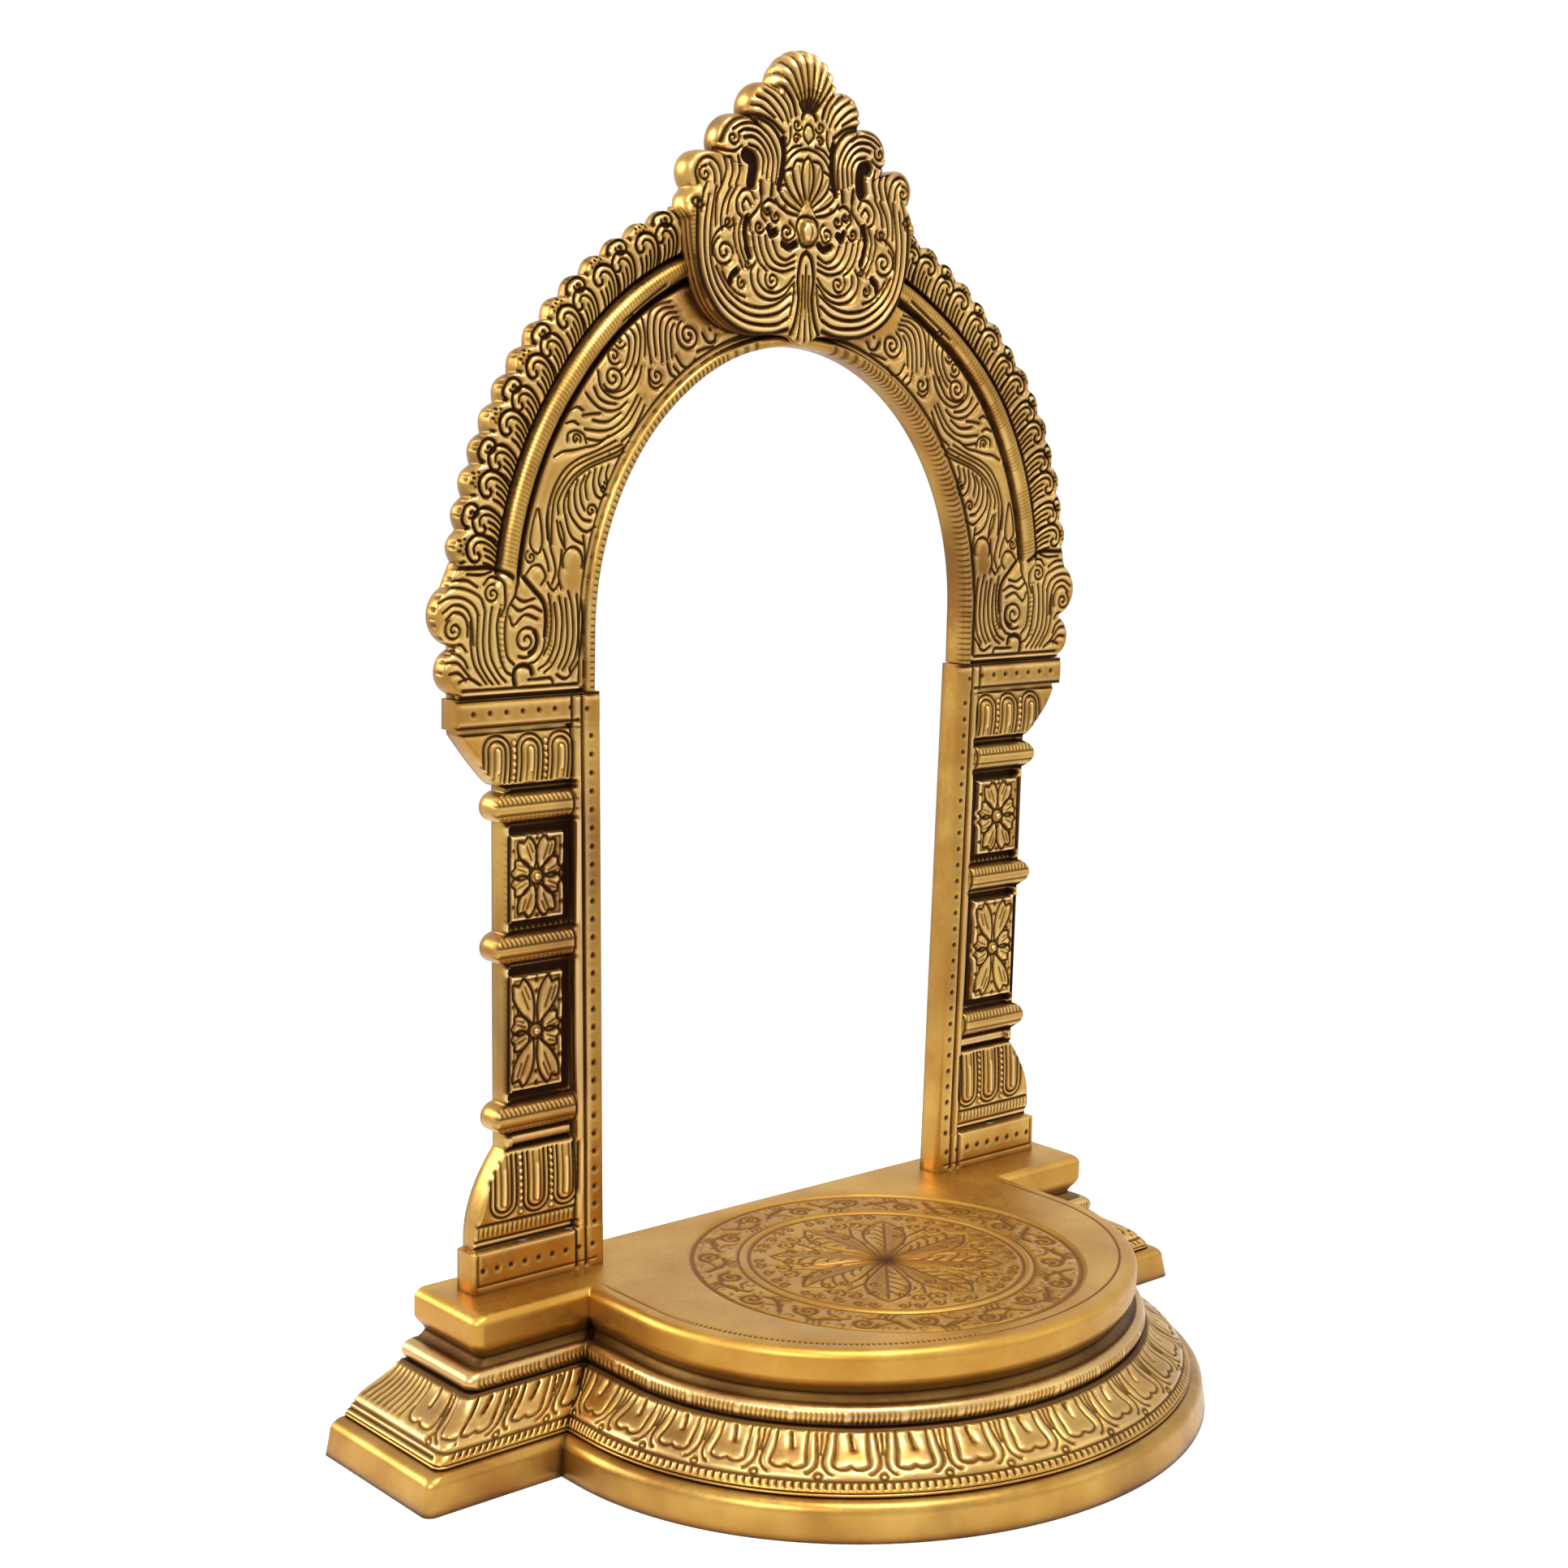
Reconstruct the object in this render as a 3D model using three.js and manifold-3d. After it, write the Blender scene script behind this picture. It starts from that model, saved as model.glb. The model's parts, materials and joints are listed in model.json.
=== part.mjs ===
import * as THREE from 'three';
import { mergeVertices } from 'three/addons/utils/BufferGeometryUtils.js';
import Module from 'manifold-3d';

// Brass deity throne: an ornamental arch on two pillars, standing at the back of
// a lotus-moulded pedestal with a round front. Millimetres, +Z up, the front
// faces -Y. Everything is drawn with the front of the pillars at y = 0, and the
// whole throne is moved at the end so that its footprint is centred.

const wasm = await Module();
wasm.setup();

// Gap between castings, and how deep a raised form is rooted in its ground
const clearance = 0.3;
const rooted = 0.6;

// Pedestal moulding from the floor up: heights, and reach beyond the slab's edge
const plinthHeight = 10;
const plinthReach = 21;
const plinthEdgeRadius = 3.4;
const filletHeight = 2;
const filletReach = 16.4;
const milledBandHeight = 2.6;
const milledBandReach = 15.4;
const cymaHeight = 8.6;
const cymaFootReach = 13.2;
const cymaHeadReach = 3;
const cymaSwell = 0.7;
const torusRadius = 2.3;
const torusReach = 1.4;
const neckHeight = 2.2;
const neckReach = -2.6;
const topWall = 4;
const sideWall = 5;

// How much of the reach the straight sides of the pedestal take
const wingEndFlare = 1.24;
const wingFrontFlare = 0.8;
const backFlare = 0.15;
const wingCornerRadius = 3;

// Lotus petals on the cyma
const petalPitch = 15.6;
const petalShare = 0.78;
const petalProud = 0.9;
const petalsOnWing = 2;

// Seat slab
const seatThickness = 12.2;
const seatWingMargin = 9;
const seatFrontY = -14.4;
const seatBackY = 16;
const roundHalfWidth = 82;
const roundDepth = 73;
const roundCentreY = -38.4;
const seatEdgeRadius = 3;
const medallionCentreY = -46;
const medallionRadius = 55.5;
const medallionGroove = 0.8;

// Pillars, with heights above the seat
const plateThickness = 8.6;
const groundDepth = 1.8;
const pillarHeight = 162.8;
const footInnerHalf = 66;
const topInnerHalf = 69.2;
const footOuterHalf = 110;
const headOverhang = 0.2;
const stileFootHalf = 98.3;
const stileHeadHalf = 99.5;
const borderWidth = 8.5;
const footStripHeight = 11.4;
const headStripHeight = 8.4;
const bellGap = 2.6;
const bellHeight = 24.4;
const bellInset = 1.8;
const capitalGap = 1.4;
const capitalHeight = 14.4;
const capitalInset = 1.4;
const ringRadius = 4;
const ringProud = 1.6;
const lowRingGap = 4.6;
const highRingGap = 2;
const middleRingShare = 0.55;
const stileWidth = 1.8;
const plaqueMargin = 2.6;
const flowerPetals = 8;
const reliefRib = 0.8;
const bellPetals = 3;

// Arch
const archInnerHalf = 70.5;
const archSpringRise = 15.8;
const archInnerRise = 78.3;
const archOuterRadius = 114.8;
const archOuterCentreRise = 22.5;
const featherCount = 19;
const featherBulge = 1.8;
const soffitRimWidth = 3.5;
const rimGroove = 2;
const rollCircleRadius = 99.4;
const rollRadius = 2.9;
const rollGroove = 1;
const shoulderTop = 31;
const shoulderLobes = [[-2.6, 6.8, 6.2], [-2.4, 21.6, 8.2]];

// Crest, with heights above the crown of the arch opening
const crestProud = 2.8;
const crestHeight = 81.9;
const crestRibbonHalf = 41;
const fanRadius = 11;
const fanPetals = 9;
const fanSpread = 0.75;
const fanDrop = 9;
const pendantHalf = 4.6;
const bossRadius = 4.2;

// Fasteners
const boltDiameter = 5;
const boltGrip = 12;
const boltHeadWidth = 8;
const boltHeadHeight = 3.5;
const washerDiameter = 10;
const washerThickness = 1;
const screwDiameter = 4;
const screwHeadHeight = 2.4;
const screwGrip = 7;
const dowelDiameter = 3;
const dowelLength = 16;
const rivetDiameter = 3;
const rivetHeadDiameter = 6;
const rivetHeadHeight = 1.6;
const rivetGrip = 1.8;

// Levels that follow from the sizes above
const filletTop = plinthHeight + filletHeight;
const cymaFoot = filletTop + milledBandHeight;
const cymaTop = cymaFoot + cymaHeight;
const torusTop = cymaTop + 2 * torusRadius;
const shellTop = torusTop + neckHeight;
const seatTop = shellTop + seatThickness;
const springingZ = seatTop + pillarHeight;
const archInnerCentreZ = springingZ + archSpringRise;
const archOuterCentreZ = springingZ + archOuterCentreRise;
const crownZ = archInnerCentreZ + archInnerRise;
const headOuterHalf = archOuterRadius + headOverhang;
const seatWingHalfWidth = footOuterHalf + seatWingMargin;
const bellFoot = footStripHeight + bellGap;
const bellHead = bellFoot + bellHeight;
const capitalHead = pillarHeight - headStripHeight - capitalGap;
const capitalFoot = capitalHead - capitalHeight;
const lowRing = bellHead + lowRingGap + ringRadius;
const highRing = capitalFoot - highRingGap - ringRadius;
const ringHeights = [lowRing, lowRing + (highRing - lowRing) * middleRingShare, highRing];
const plateMiddleY = plateThickness / 2;
const boltClear = boltDiameter / 2 + clearance;
const screwClear = screwDiameter / 2 + clearance;
const dowelClear = dowelDiameter / 2 + clearance;
const rivetClear = rivetDiameter / 2 + clearance;

const steps = (count) => Array.from({ length: count + 1 }, (_, i) => i / count);
const mix = (from, to, share) => from + (to - from) * share;

// Where the fasteners sit
const boltShares = [0.23, 0.59];
const dowelInset = 11;
const boltPlaces = [-1, 1].flatMap((side) => boltShares.map(
  (share) => [side * mix(footInnerHalf, footOuterHalf, share), plateMiddleY],
));
const screwPlaces = [[-48, -40], [48, -40], [0, -88]];
const dowelPlaces = [topInnerHalf + dowelInset, headOuterHalf - dowelInset];
const rivetPlaces = [[-26, crownZ + 23], [26, crownZ + 23], [0, crownZ + 9]];

const brass = () => new THREE.MeshStandardMaterial({ color: 0xb8862f, roughness: 0.38, metalness: 1 });
const seatBrass = () => new THREE.MeshStandardMaterial({ color: 0xc09238, roughness: 0.34, metalness: 1 });
const steel = () => new THREE.MeshStandardMaterial({ color: 0x9a9a98, roughness: 0.35, metalness: 1 });

// A closed geometry with shared vertices, as a solid that can be cut and joined.
function solidOf(geometry) {
  const bare = geometry.index ? geometry.toNonIndexed() : geometry.clone();
  bare.deleteAttribute('normal');
  bare.deleteAttribute('uv');
  const merged = mergeVertices(bare, 1e-4);
  return new wasm.Manifold(new wasm.Mesh({
    numProp: 3,
    vertProperties: new Float32Array(merged.attributes.position.array),
    triVerts: new Uint32Array(merged.index.array),
  }));
}

function geometryOf(solid) {
  const mesh = solid.getMesh();
  const geometry = new THREE.BufferGeometry();
  geometry.setAttribute('position', new THREE.BufferAttribute(new Float32Array(mesh.vertProperties), 3));
  geometry.setIndex(new THREE.BufferAttribute(new Uint32Array(mesh.triVerts), 1));
  const flat = geometry.toNonIndexed();
  flat.computeVertexNormals();
  return flat;
}

function joined(solids) {
  return solids.reduce((whole, next) => whole.add(next));
}

function mirrored(solid) {
  return solid.mirror([1, 0, 0]);
}

function bothSides(solid) {
  return [solid, mirrored(solid)];
}

// A flat outline in X and Z, given thickness between two Y values.
function slab(points, frontY, backY) {
  const shape = new THREE.Shape(points.map(([x, z]) => new THREE.Vector2(x, z)));
  const geometry = new THREE.ExtrudeGeometry(shape, { depth: backY - frontY, bevelEnabled: false, steps: 1 });
  geometry.rotateX(Math.PI / 2);
  geometry.translate(0, backY, 0);
  return solidOf(geometry);
}

// A raised form on the ground of a plate: its face stands at the given Y.
function raised(points, faceY) {
  return slab(points, faceY, groundDepth + rooted);
}

// A round bar along one axis, from a start point.
function bar(axis, radius, length, x, y, z, sides = 8) {
  const geometry = new THREE.CylinderGeometry(radius, radius, length, sides);
  geometry.translate(0, length / 2, 0);
  if (axis === 'z') geometry.rotateX(Math.PI / 2);
  if (axis === 'x') geometry.rotateZ(-Math.PI / 2);
  geometry.translate(x, y, z);
  return solidOf(geometry);
}

// A rounded rib that follows points in X and Z along a face at the given Y.
function rib(points, radius, y, count, sides = 4) {
  const path = new THREE.CatmullRomCurve3(points.map(([x, z]) => new THREE.Vector3(x, y, z)));
  const section = new THREE.Shape().absarc(0, 0, radius, 0, Math.PI * 2);
  const options = { steps: count, extrudePath: path, curveSegments: sides / 2 };
  return solidOf(new THREE.ExtrudeGeometry(section, options));
}

const arcPoints = (cx, cz, radius, from, to, count) => steps(count).map((share) => {
  const angle = mix(from, to, share);
  return [cx + radius * Math.cos(angle), cz + radius * Math.sin(angle)];
});

// A volute: starts at its eye and opens by the given turn to the outer radius.
const spiralPoints = (cx, cz, radius, start, turn, count) => steps(count).map((share) => {
  const angle = start + turn * share;
  const reach = radius * mix(0.25, 1, share);
  return [cx + reach * Math.cos(angle), cz + reach * Math.sin(angle)];
});

// The pedestal's plan at a level: a back bar with two wings and a round front.
// A reach grows it outwards, and a wall draws every side in by the same amount.
function planOf(reach, wall = 0) {
  return {
    wing: seatWingHalfWidth + reach * wingEndFlare - wall,
    back: seatBackY + reach * backFlare - wall,
    front: seatFrontY - reach * wingFrontFlare + wall,
    rx: roundHalfWidth + reach - wall,
    ry: roundDepth + reach - wall,
  };
}

const roundArcSteps = 28;

function planRing(reach, z, wall = 0) {
  const { wing, back, front, rx, ry } = planOf(reach, wall);
  const radius = wingCornerRadius;
  const corner = (side, from) => arcPoints(side * (wing - radius), front + radius, radius, from, from + Math.PI / 2, 2);
  const round = steps(roundArcSteps).map((share) => {
    const angle = Math.PI * (1 + share);
    return [rx * Math.cos(angle), roundCentreY + ry * Math.sin(angle)];
  });
  const points = [
    [wing, back],
    [-wing, back],
    ...corner(-1, Math.PI),
    [-rx, front],
    ...round,
    [rx, front],
    ...corner(1, Math.PI * 1.5),
  ];
  return points.map(([x, y]) => new THREE.Vector3(x, y, z));
}

// Level rings with equal point counts, skinned into one closed body.
function loft(rings) {
  const count = rings[0].length;
  const index = [];
  for (let ring = 0; ring < rings.length - 1; ring += 1) {
    for (let i = 0; i < count; i += 1) {
      const next = (i + 1) % count;
      const a = ring * count + i;
      const b = ring * count + next;
      index.push(a, b, a + count, b, b + count, a + count);
    }
  }
  const cap = (ring, flip) => {
    const flat = rings[ring].map((p) => new THREE.Vector2(p.x, p.y));
    THREE.ShapeUtils.triangulateShape(flat, []).forEach(([a, b, c]) => {
      const base = ring * count;
      if (flip) index.push(base + a, base + c, base + b);
      else index.push(base + a, base + b, base + c);
    });
  };
  cap(0, true);
  cap(rings.length - 1, false);
  const geometry = new THREE.BufferGeometry().setFromPoints(rings.flat());
  geometry.setIndex(index);
  return solidOf(geometry);
}

// Height and reach on the cyma, from its foot at 0 to its head at 1.
function cymaAt(share) {
  const swell = cymaSwell * Math.sin(Math.PI * 2 * share);
  return [mix(cymaFoot, cymaTop, share), mix(cymaFootReach, cymaHeadReach, share) + swell];
}

// The moulding's section as height and reach, from the floor to the slab.
function mouldingProfile() {
  const plinthDraft = 1;
  const edgeZ = plinthHeight - plinthEdgeRadius;
  const points = [[0, plinthReach]];
  steps(3).forEach((share) => {
    const angle = (share * Math.PI) / 2;
    points.push([
      edgeZ + plinthEdgeRadius * Math.sin(angle),
      plinthReach - plinthDraft - plinthEdgeRadius * (1 - Math.cos(angle)),
    ]);
  });
  points.push([plinthHeight + 0.1, filletReach], [filletTop - 0.2, filletReach]);
  points.push([filletTop, milledBandReach], [cymaFoot - 0.5, milledBandReach - 1.2]);
  steps(3).forEach((share) => points.push(cymaAt(share)));
  steps(4).forEach((share) => {
    const angle = Math.PI * (share - 0.5);
    points.push([
      cymaTop + torusRadius * (1 + Math.sin(angle) * 0.98),
      torusReach - torusRadius * (1 - Math.cos(angle)),
    ]);
  });
  points.push([torusTop + 0.2, neckReach], [shellTop, neckReach]);
  return points;
}

// One lotus petal on the cyma. The edge function gives a point in plan for a
// place along the edge, a reach and a depth behind the surface.
function lotusPetal(edge, centre, halfWidth) {
  const levels = [0.04, 0.16, 0.98];
  const acrossSteps = 4;
  const rings = levels.map((level) => {
    const [z, reach] = cymaAt(level);
    const spread = halfWidth * Math.min(1, Math.sqrt(level / levels[1]));
    const outer = steps(acrossSteps).map((share) => {
      const across = mix(-1, 1, share);
      const dome = petalProud * (1 - 0.8 * across * across) * (1.15 - 0.5 * level);
      return edge(centre + spread * across, reach + dome);
    });
    const inner = [edge(centre + spread, reach - rooted), edge(centre - spread, reach - rooted)];
    return [...outer, ...inner].map(([x, y]) => new THREE.Vector3(x, y, z));
  });
  return loft(rings);
}

// Petals round the front, along the wing fronts and on the wing ends.
function lotusPetals() {
  const middleReach = (cymaFootReach + cymaHeadReach) / 2;
  const middle = planOf(middleReach);
  const roundLength = (Math.PI * (middle.rx + middle.ry)) / 2;
  const roundCount = Math.round(roundLength / petalPitch);
  const halfWidth = (petalPitch * petalShare) / 2;
  const roundEdge = (place, reach) => {
    const angle = Math.PI * (1 + place / roundLength);
    const { rx, ry } = planOf(reach);
    return [rx * Math.cos(angle), roundCentreY + ry * Math.sin(angle)];
  };
  const petals = [];
  for (let i = 1; i < roundCount - 1; i += 1) {
    petals.push(lotusPetal(roundEdge, (roundLength * (i + 0.5)) / roundCount, halfWidth));
  }
  const wingStart = middle.rx + petalPitch / 2;
  const wingStep = (middle.wing - wingStart) / petalsOnWing;
  const frontEdge = (place, reach) => [place, planOf(reach).front];
  const endStep = (middle.back - middle.front) / petalsOnWing;
  const endEdge = (place, reach) => [planOf(reach).wing, place];
  for (let i = 0; i < petalsOnWing; i += 1) {
    const front = lotusPetal(frontEdge, wingStart + wingStep * (i + 0.5), (wingStep * petalShare) / 2);
    const end = lotusPetal(endEdge, middle.front + endStep * (i + 0.5), (endStep * petalShare) / 2);
    petals.push(mirrored(front), front, end, mirrored(end));
  }
  return petals;
}

function pedestalShell() {
  const hollow = [
    [-1, plinthReach],
    [plinthHeight - plinthEdgeRadius, plinthReach - 1],
    [plinthHeight, filletReach],
    [cymaFoot, cymaFootReach],
    [cymaTop, neckReach],
    [shellTop - topWall, neckReach],
  ];
  const outer = loft(mouldingProfile().map(([z, reach]) => planRing(reach, z)));
  const inner = loft(hollow.map(([z, reach]) => planRing(reach, z, sideWall)));
  let shell = joined([outer, ...lotusPetals()]).subtract(inner);
  boltPlaces.forEach(([x, y]) => {
    shell = shell.subtract(bar('z', boltClear, topWall + 2, x, y, shellTop - topWall - 1));
  });
  screwPlaces.forEach(([x, y]) => {
    shell = shell.subtract(bar('z', screwClear, topWall + 2, x, y, shellTop - topWall - 1));
  });
  return shell;
}

// The slab flares out of the neck in a small cove and has a rounded upper edge.
function seatPlate() {
  const coveHeight = 5.5;
  const profile = steps(3).map((share) => [
    shellTop + coveHeight * share,
    neckReach * (1 - Math.sin((share * Math.PI) / 2)),
  ]);
  steps(3).forEach((share) => {
    const angle = (share * Math.PI) / 2;
    profile.push([
      seatTop - seatEdgeRadius * (1 - Math.sin(angle)),
      -seatEdgeRadius * (1 - Math.cos(angle)),
    ]);
  });
  let plate = loft(profile.map(([z, reach]) => planRing(reach, z)));
  const ringSides = 40;
  const grooveWidth = 1.4;
  const grooveZ = seatTop - medallionGroove;
  const disc = bar('z', medallionRadius, medallionGroove + 1, 0, medallionCentreY, grooveZ, ringSides);
  const island = bar('z', medallionRadius - grooveWidth, seatThickness, 0, medallionCentreY, shellTop + 1, ringSides);
  plate = plate.subtract(disc.subtract(island));
  boltPlaces.forEach(([x, y]) => {
    plate = plate.subtract(bar('z', boltClear, seatThickness + 2, x, y, shellTop - 1));
  });
  screwPlaces.forEach(([x, y]) => {
    plate = plate.subtract(bar('z', screwClear, screwGrip + 2, x, y, shellTop - 1));
  });
  return plate;
}

const jambHalfAt = (height) => mix(footInnerHalf, topInnerHalf, height / pillarHeight);
const stileHalfAt = (height) => mix(stileFootHalf, stileHeadHalf, height / pillarHeight);
const pillarTop = pillarHeight - clearance;

// Half width of the swelling bell and of the spreading capital at a height.
const bellHalfAt = (height) => {
  const share = (height - bellFoot) / bellHeight;
  return mix(footOuterHalf - bellInset, stileHalfAt(bellHead), share * share);
};
const capitalHalfAt = (height) => {
  const share = Math.max(0, (height - capitalFoot) / capitalHeight);
  return mix(stileHalfAt(capitalFoot) + ringProud, headOuterHalf - capitalInset, share ** 0.85);
};

// The pillar's outline, up its outer edge from foot to top, as X and height.
function pillarOutline() {
  const points = [[jambHalfAt(0), 0], [footOuterHalf, 0], [footOuterHalf, footStripHeight]];
  steps(5).forEach((share) => {
    const height = mix(bellFoot, bellHead, share);
    points.push([bellHalfAt(height), height]);
  });
  ringHeights.forEach((centre) => {
    const start = stileHalfAt(centre - ringRadius);
    points.push([start, centre - ringRadius]);
    steps(4).forEach((share) => {
      const angle = Math.PI * (share - 0.5) * 0.86;
      const swell = ringProud + ringRadius * 0.6 * Math.cos(angle);
      points.push([start + swell, centre + ringRadius * 0.92 * Math.sin(angle)]);
    });
    points.push([stileHalfAt(centre + ringRadius), centre + ringRadius]);
  });
  steps(4).forEach((share) => {
    const height = mix(capitalFoot, capitalHead, share);
    points.push([capitalHalfAt(height), height]);
  });
  points.push([headOuterHalf, pillarHeight - headStripHeight], [headOuterHalf, pillarTop]);
  points.push([jambHalfAt(pillarTop), pillarTop]);
  return points;
}

const onPillar = (points) => points.map(([x, height]) => [x, height + seatTop]);

// The flat frame that carries the punched dots: jamb strip, foot and head.
function pillarFrame() {
  const jamb = [[0, 0], [0, borderWidth], [pillarTop, borderWidth], [pillarTop, 0]].map(
    ([height, width]) => [jambHalfAt(height) + width, height],
  );
  const foot = [
    [jambHalfAt(0), 0],
    [footOuterHalf, 0],
    [footOuterHalf, footStripHeight],
    [jambHalfAt(footStripHeight), footStripHeight],
  ];
  const headFoot = pillarHeight - headStripHeight;
  const head = [
    [jambHalfAt(headFoot), headFoot],
    [headOuterHalf, headFoot],
    [headOuterHalf, pillarTop],
    [jambHalfAt(pillarTop), pillarTop],
  ];
  return [jamb, foot, head].map((points) => raised(onPillar(points), 0));
}

// An upright or hanging U of petal rim between two heights.
function petalRim(x, foot, head, halfWidth, upright) {
  const turn = upright ? 1 : -1;
  const bendZ = upright ? head - halfWidth : foot + halfWidth;
  const openZ = upright ? foot : head;
  const bend = arcPoints(x, bendZ, halfWidth, turn * Math.PI, 0, 4);
  return rib(onPillar([[x - halfWidth, openZ], ...bend, [x + halfWidth, openZ]]), reliefRib, groundDepth - 1.2, 7);
}

// The bell at the foot and the capital at the head, each with a row of petals.
function pillarPetals() {
  const inner = (height) => jambHalfAt(height) + borderWidth + 1.6;
  const fieldY = groundDepth - 1.2;
  const zones = [
    [bellFoot, bellHead - 1, bellHalfAt, false],
    [capitalFoot, capitalHead, capitalHalfAt, true],
  ];
  return zones.flatMap(([foot, head, halfAt, upright]) => {
    const outer = steps(4).map((share) => mix(foot, head, share)).map((height) => [halfAt(height) - 0.6, height]);
    const field = raised(onPillar([[inner(foot), foot], ...outer, [inner(head), head]]), fieldY);
    const reach = Math.min(halfAt(foot), halfAt(head)) + 1;
    const pitch = (reach - inner(foot)) / bellPetals;
    const rims = steps(bellPetals - 1).map((share) => {
      const x = mix(inner(foot) + pitch / 2, reach - pitch / 2, share);
      return petalRim(x, foot + 2, head - 2, pitch * 0.36, upright);
    });
    return [field, ...rims];
  });
}

// Rings round the shaft, seen from the front as half-round bars.
function pillarRings() {
  return ringHeights.map((height) => {
    const start = jambHalfAt(height) + borderWidth - 1;
    const reach = stileHalfAt(height) + ringProud + 1;
    return bar('x', ringRadius * 0.9, reach - start, start, groundDepth + 1.1, height + seatTop, 12);
  });
}

// A square plaque with a flower of eight petals round a boss.
function plaque(foot, head) {
  const left = jambHalfAt(foot) + borderWidth + plaqueMargin;
  const right = stileHalfAt(foot) - stileWidth - 1;
  const faceY = 0.7;
  const panel = raised(onPillar([[left, foot], [right, foot], [right, head], [left, head]]), faceY);
  const centre = [(left + right) / 2, (foot + head) / 2];
  const reachX = (right - left) / 2;
  const reachZ = (head - foot) / 2;
  const petals = Array.from({ length: flowerPetals }, (_, i) => {
    const angle = ((i + 0.5) * Math.PI * 2) / flowerPetals;
    const tip = Math.min(reachX / Math.abs(Math.cos(angle)), reachZ / Math.abs(Math.sin(angle))) * 0.94;
    const along = (reach, side) => [
      centre[0] + reach * Math.cos(angle) - side * Math.sin(angle),
      centre[1] + reach * Math.sin(angle) + side * Math.cos(angle),
    ];
    const outline = [along(1.6, 0), along(tip * 0.6, -2), along(tip, 0), along(tip * 0.6, 2)];
    return slab(onPillar(outline), faceY - 0.6, faceY + rooted);
  });
  const [boss] = onPillar([centre]);
  return [panel, ...petals, bar('y', 2.3, 2, boss[0], faceY - 1, boss[1], 12)];
}

// The narrow rib down the outer edge of the shaft.
function stileRib() {
  const foot = bellHead;
  const head = capitalFoot;
  const line = [[foot, 0], [foot, -stileWidth], [head, -stileWidth], [head, 0]];
  return raised(onPillar(line.map(([height, width]) => [stileHalfAt(height) + width, height])), 0.4);
}

function pillar() {
  const plaqueGap = 3.2;
  const plaques = [[0, 1], [1, 2]].flatMap(([low, high]) => plaque(
    ringHeights[low] + ringRadius + plaqueGap,
    ringHeights[high] - ringRadius - plaqueGap,
  ));
  let body = joined([
    slab(onPillar(pillarOutline()), groundDepth, plateThickness),
    ...pillarFrame(),
    ...pillarPetals(),
    ...pillarRings(),
    ...plaques,
    stileRib(),
  ]);
  boltPlaces.filter(([x]) => x > 0).forEach(([x, y]) => {
    body = body.subtract(bar('z', boltClear, boltGrip + 2.5, x, y, seatTop - 1));
  });
  dowelPlaces.forEach((x) => {
    body = body.subtract(bar('z', dowelClear, dowelLength, x, plateMiddleY, springingZ - clearance - dowelLength / 2));
  });
  return body;
}

const archInner = (angle, grow = 0) => [
  (archInnerHalf + grow) * Math.cos(angle),
  archInnerCentreZ + (archInnerRise + grow) * Math.sin(angle),
];

// The arch opening with its straight stilts, grown outwards by a width.
function innerOutline(grow, count = 36) {
  return [
    [archInnerHalf + grow, springingZ],
    ...steps(count).map((share) => archInner(Math.PI * share, grow)),
    [-archInnerHalf - grow, springingZ],
  ];
}

// The first feather starts just above the upper shoulder lobe.
const lobeTop = shoulderLobes[1][1] + shoulderLobes[1][2];
const firstFeather = Math.asin((lobeTop + featherBulge - archOuterCentreRise) / archOuterRadius) + 0.03;
const featherPitch = (Math.PI / 2 - firstFeather) / featherCount;

const onOuterCircle = (angle, reach) => [
  reach * Math.cos(angle),
  archOuterCentreZ + reach * Math.sin(angle),
];

// Right half of the outer edge: two shoulder lobes, then the scalloped feathers.
function outerHalf() {
  const points = [[headOuterHalf - 0.4, springingZ]];
  shoulderLobes.forEach(([x, rise, radius]) => {
    points.push(...arcPoints(headOuterHalf + x, springingZ + rise, radius, -0.95, 1.05, 6));
  });
  const scallopSteps = 3;
  for (let i = 0; i < featherCount; i += 1) {
    for (let k = i === 0 ? 1 : 0; k < scallopSteps; k += 1) {
      const share = k / scallopSteps;
      const bulge = featherBulge * (Math.sin(Math.PI * share) - 0.45);
      points.push(onOuterCircle(firstFeather + featherPitch * (i + share), archOuterRadius + bulge));
    }
  }
  return points;
}

// One feather: a plume that hooks at the scalloped rim and leans down to the roll.
function feather(number) {
  const middle = firstFeather + featherPitch * (number + 0.5);
  const foot = rollCircleRadius + rollRadius + rollGroove;
  const tip = archOuterRadius - 0.4;
  const lean = featherPitch * 0.9;
  const side = (sign) => steps(2).map((share) => {
    const reach = mix(foot, tip, share);
    const swell = 0.12 + 0.3 * Math.sin(Math.PI * share * 0.85);
    const angle = middle - lean * (1 - share) ** 1.6 + sign * featherPitch * swell;
    return onOuterCircle(angle, reach);
  });
  return raised([...side(-1), ...side(1).reverse()], 0.5);
}

// The scroll field between the soffit rim and the roll.
function scrollField() {
  const low = springingZ + shoulderTop + rimGroove;
  const inner = innerOutline(soffitRimWidth + rimGroove, 28).filter(([, z]) => z > low);
  const outerReach = rollCircleRadius - rollRadius - rollGroove;
  const start = Math.asin((low - archOuterCentreZ) / outerReach);
  const outer = steps(24).map((share) => onOuterCircle(mix(Math.PI - start, start, share), outerReach));
  return raised([...inner, ...outer], groundDepth - 1.1);
}

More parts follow.
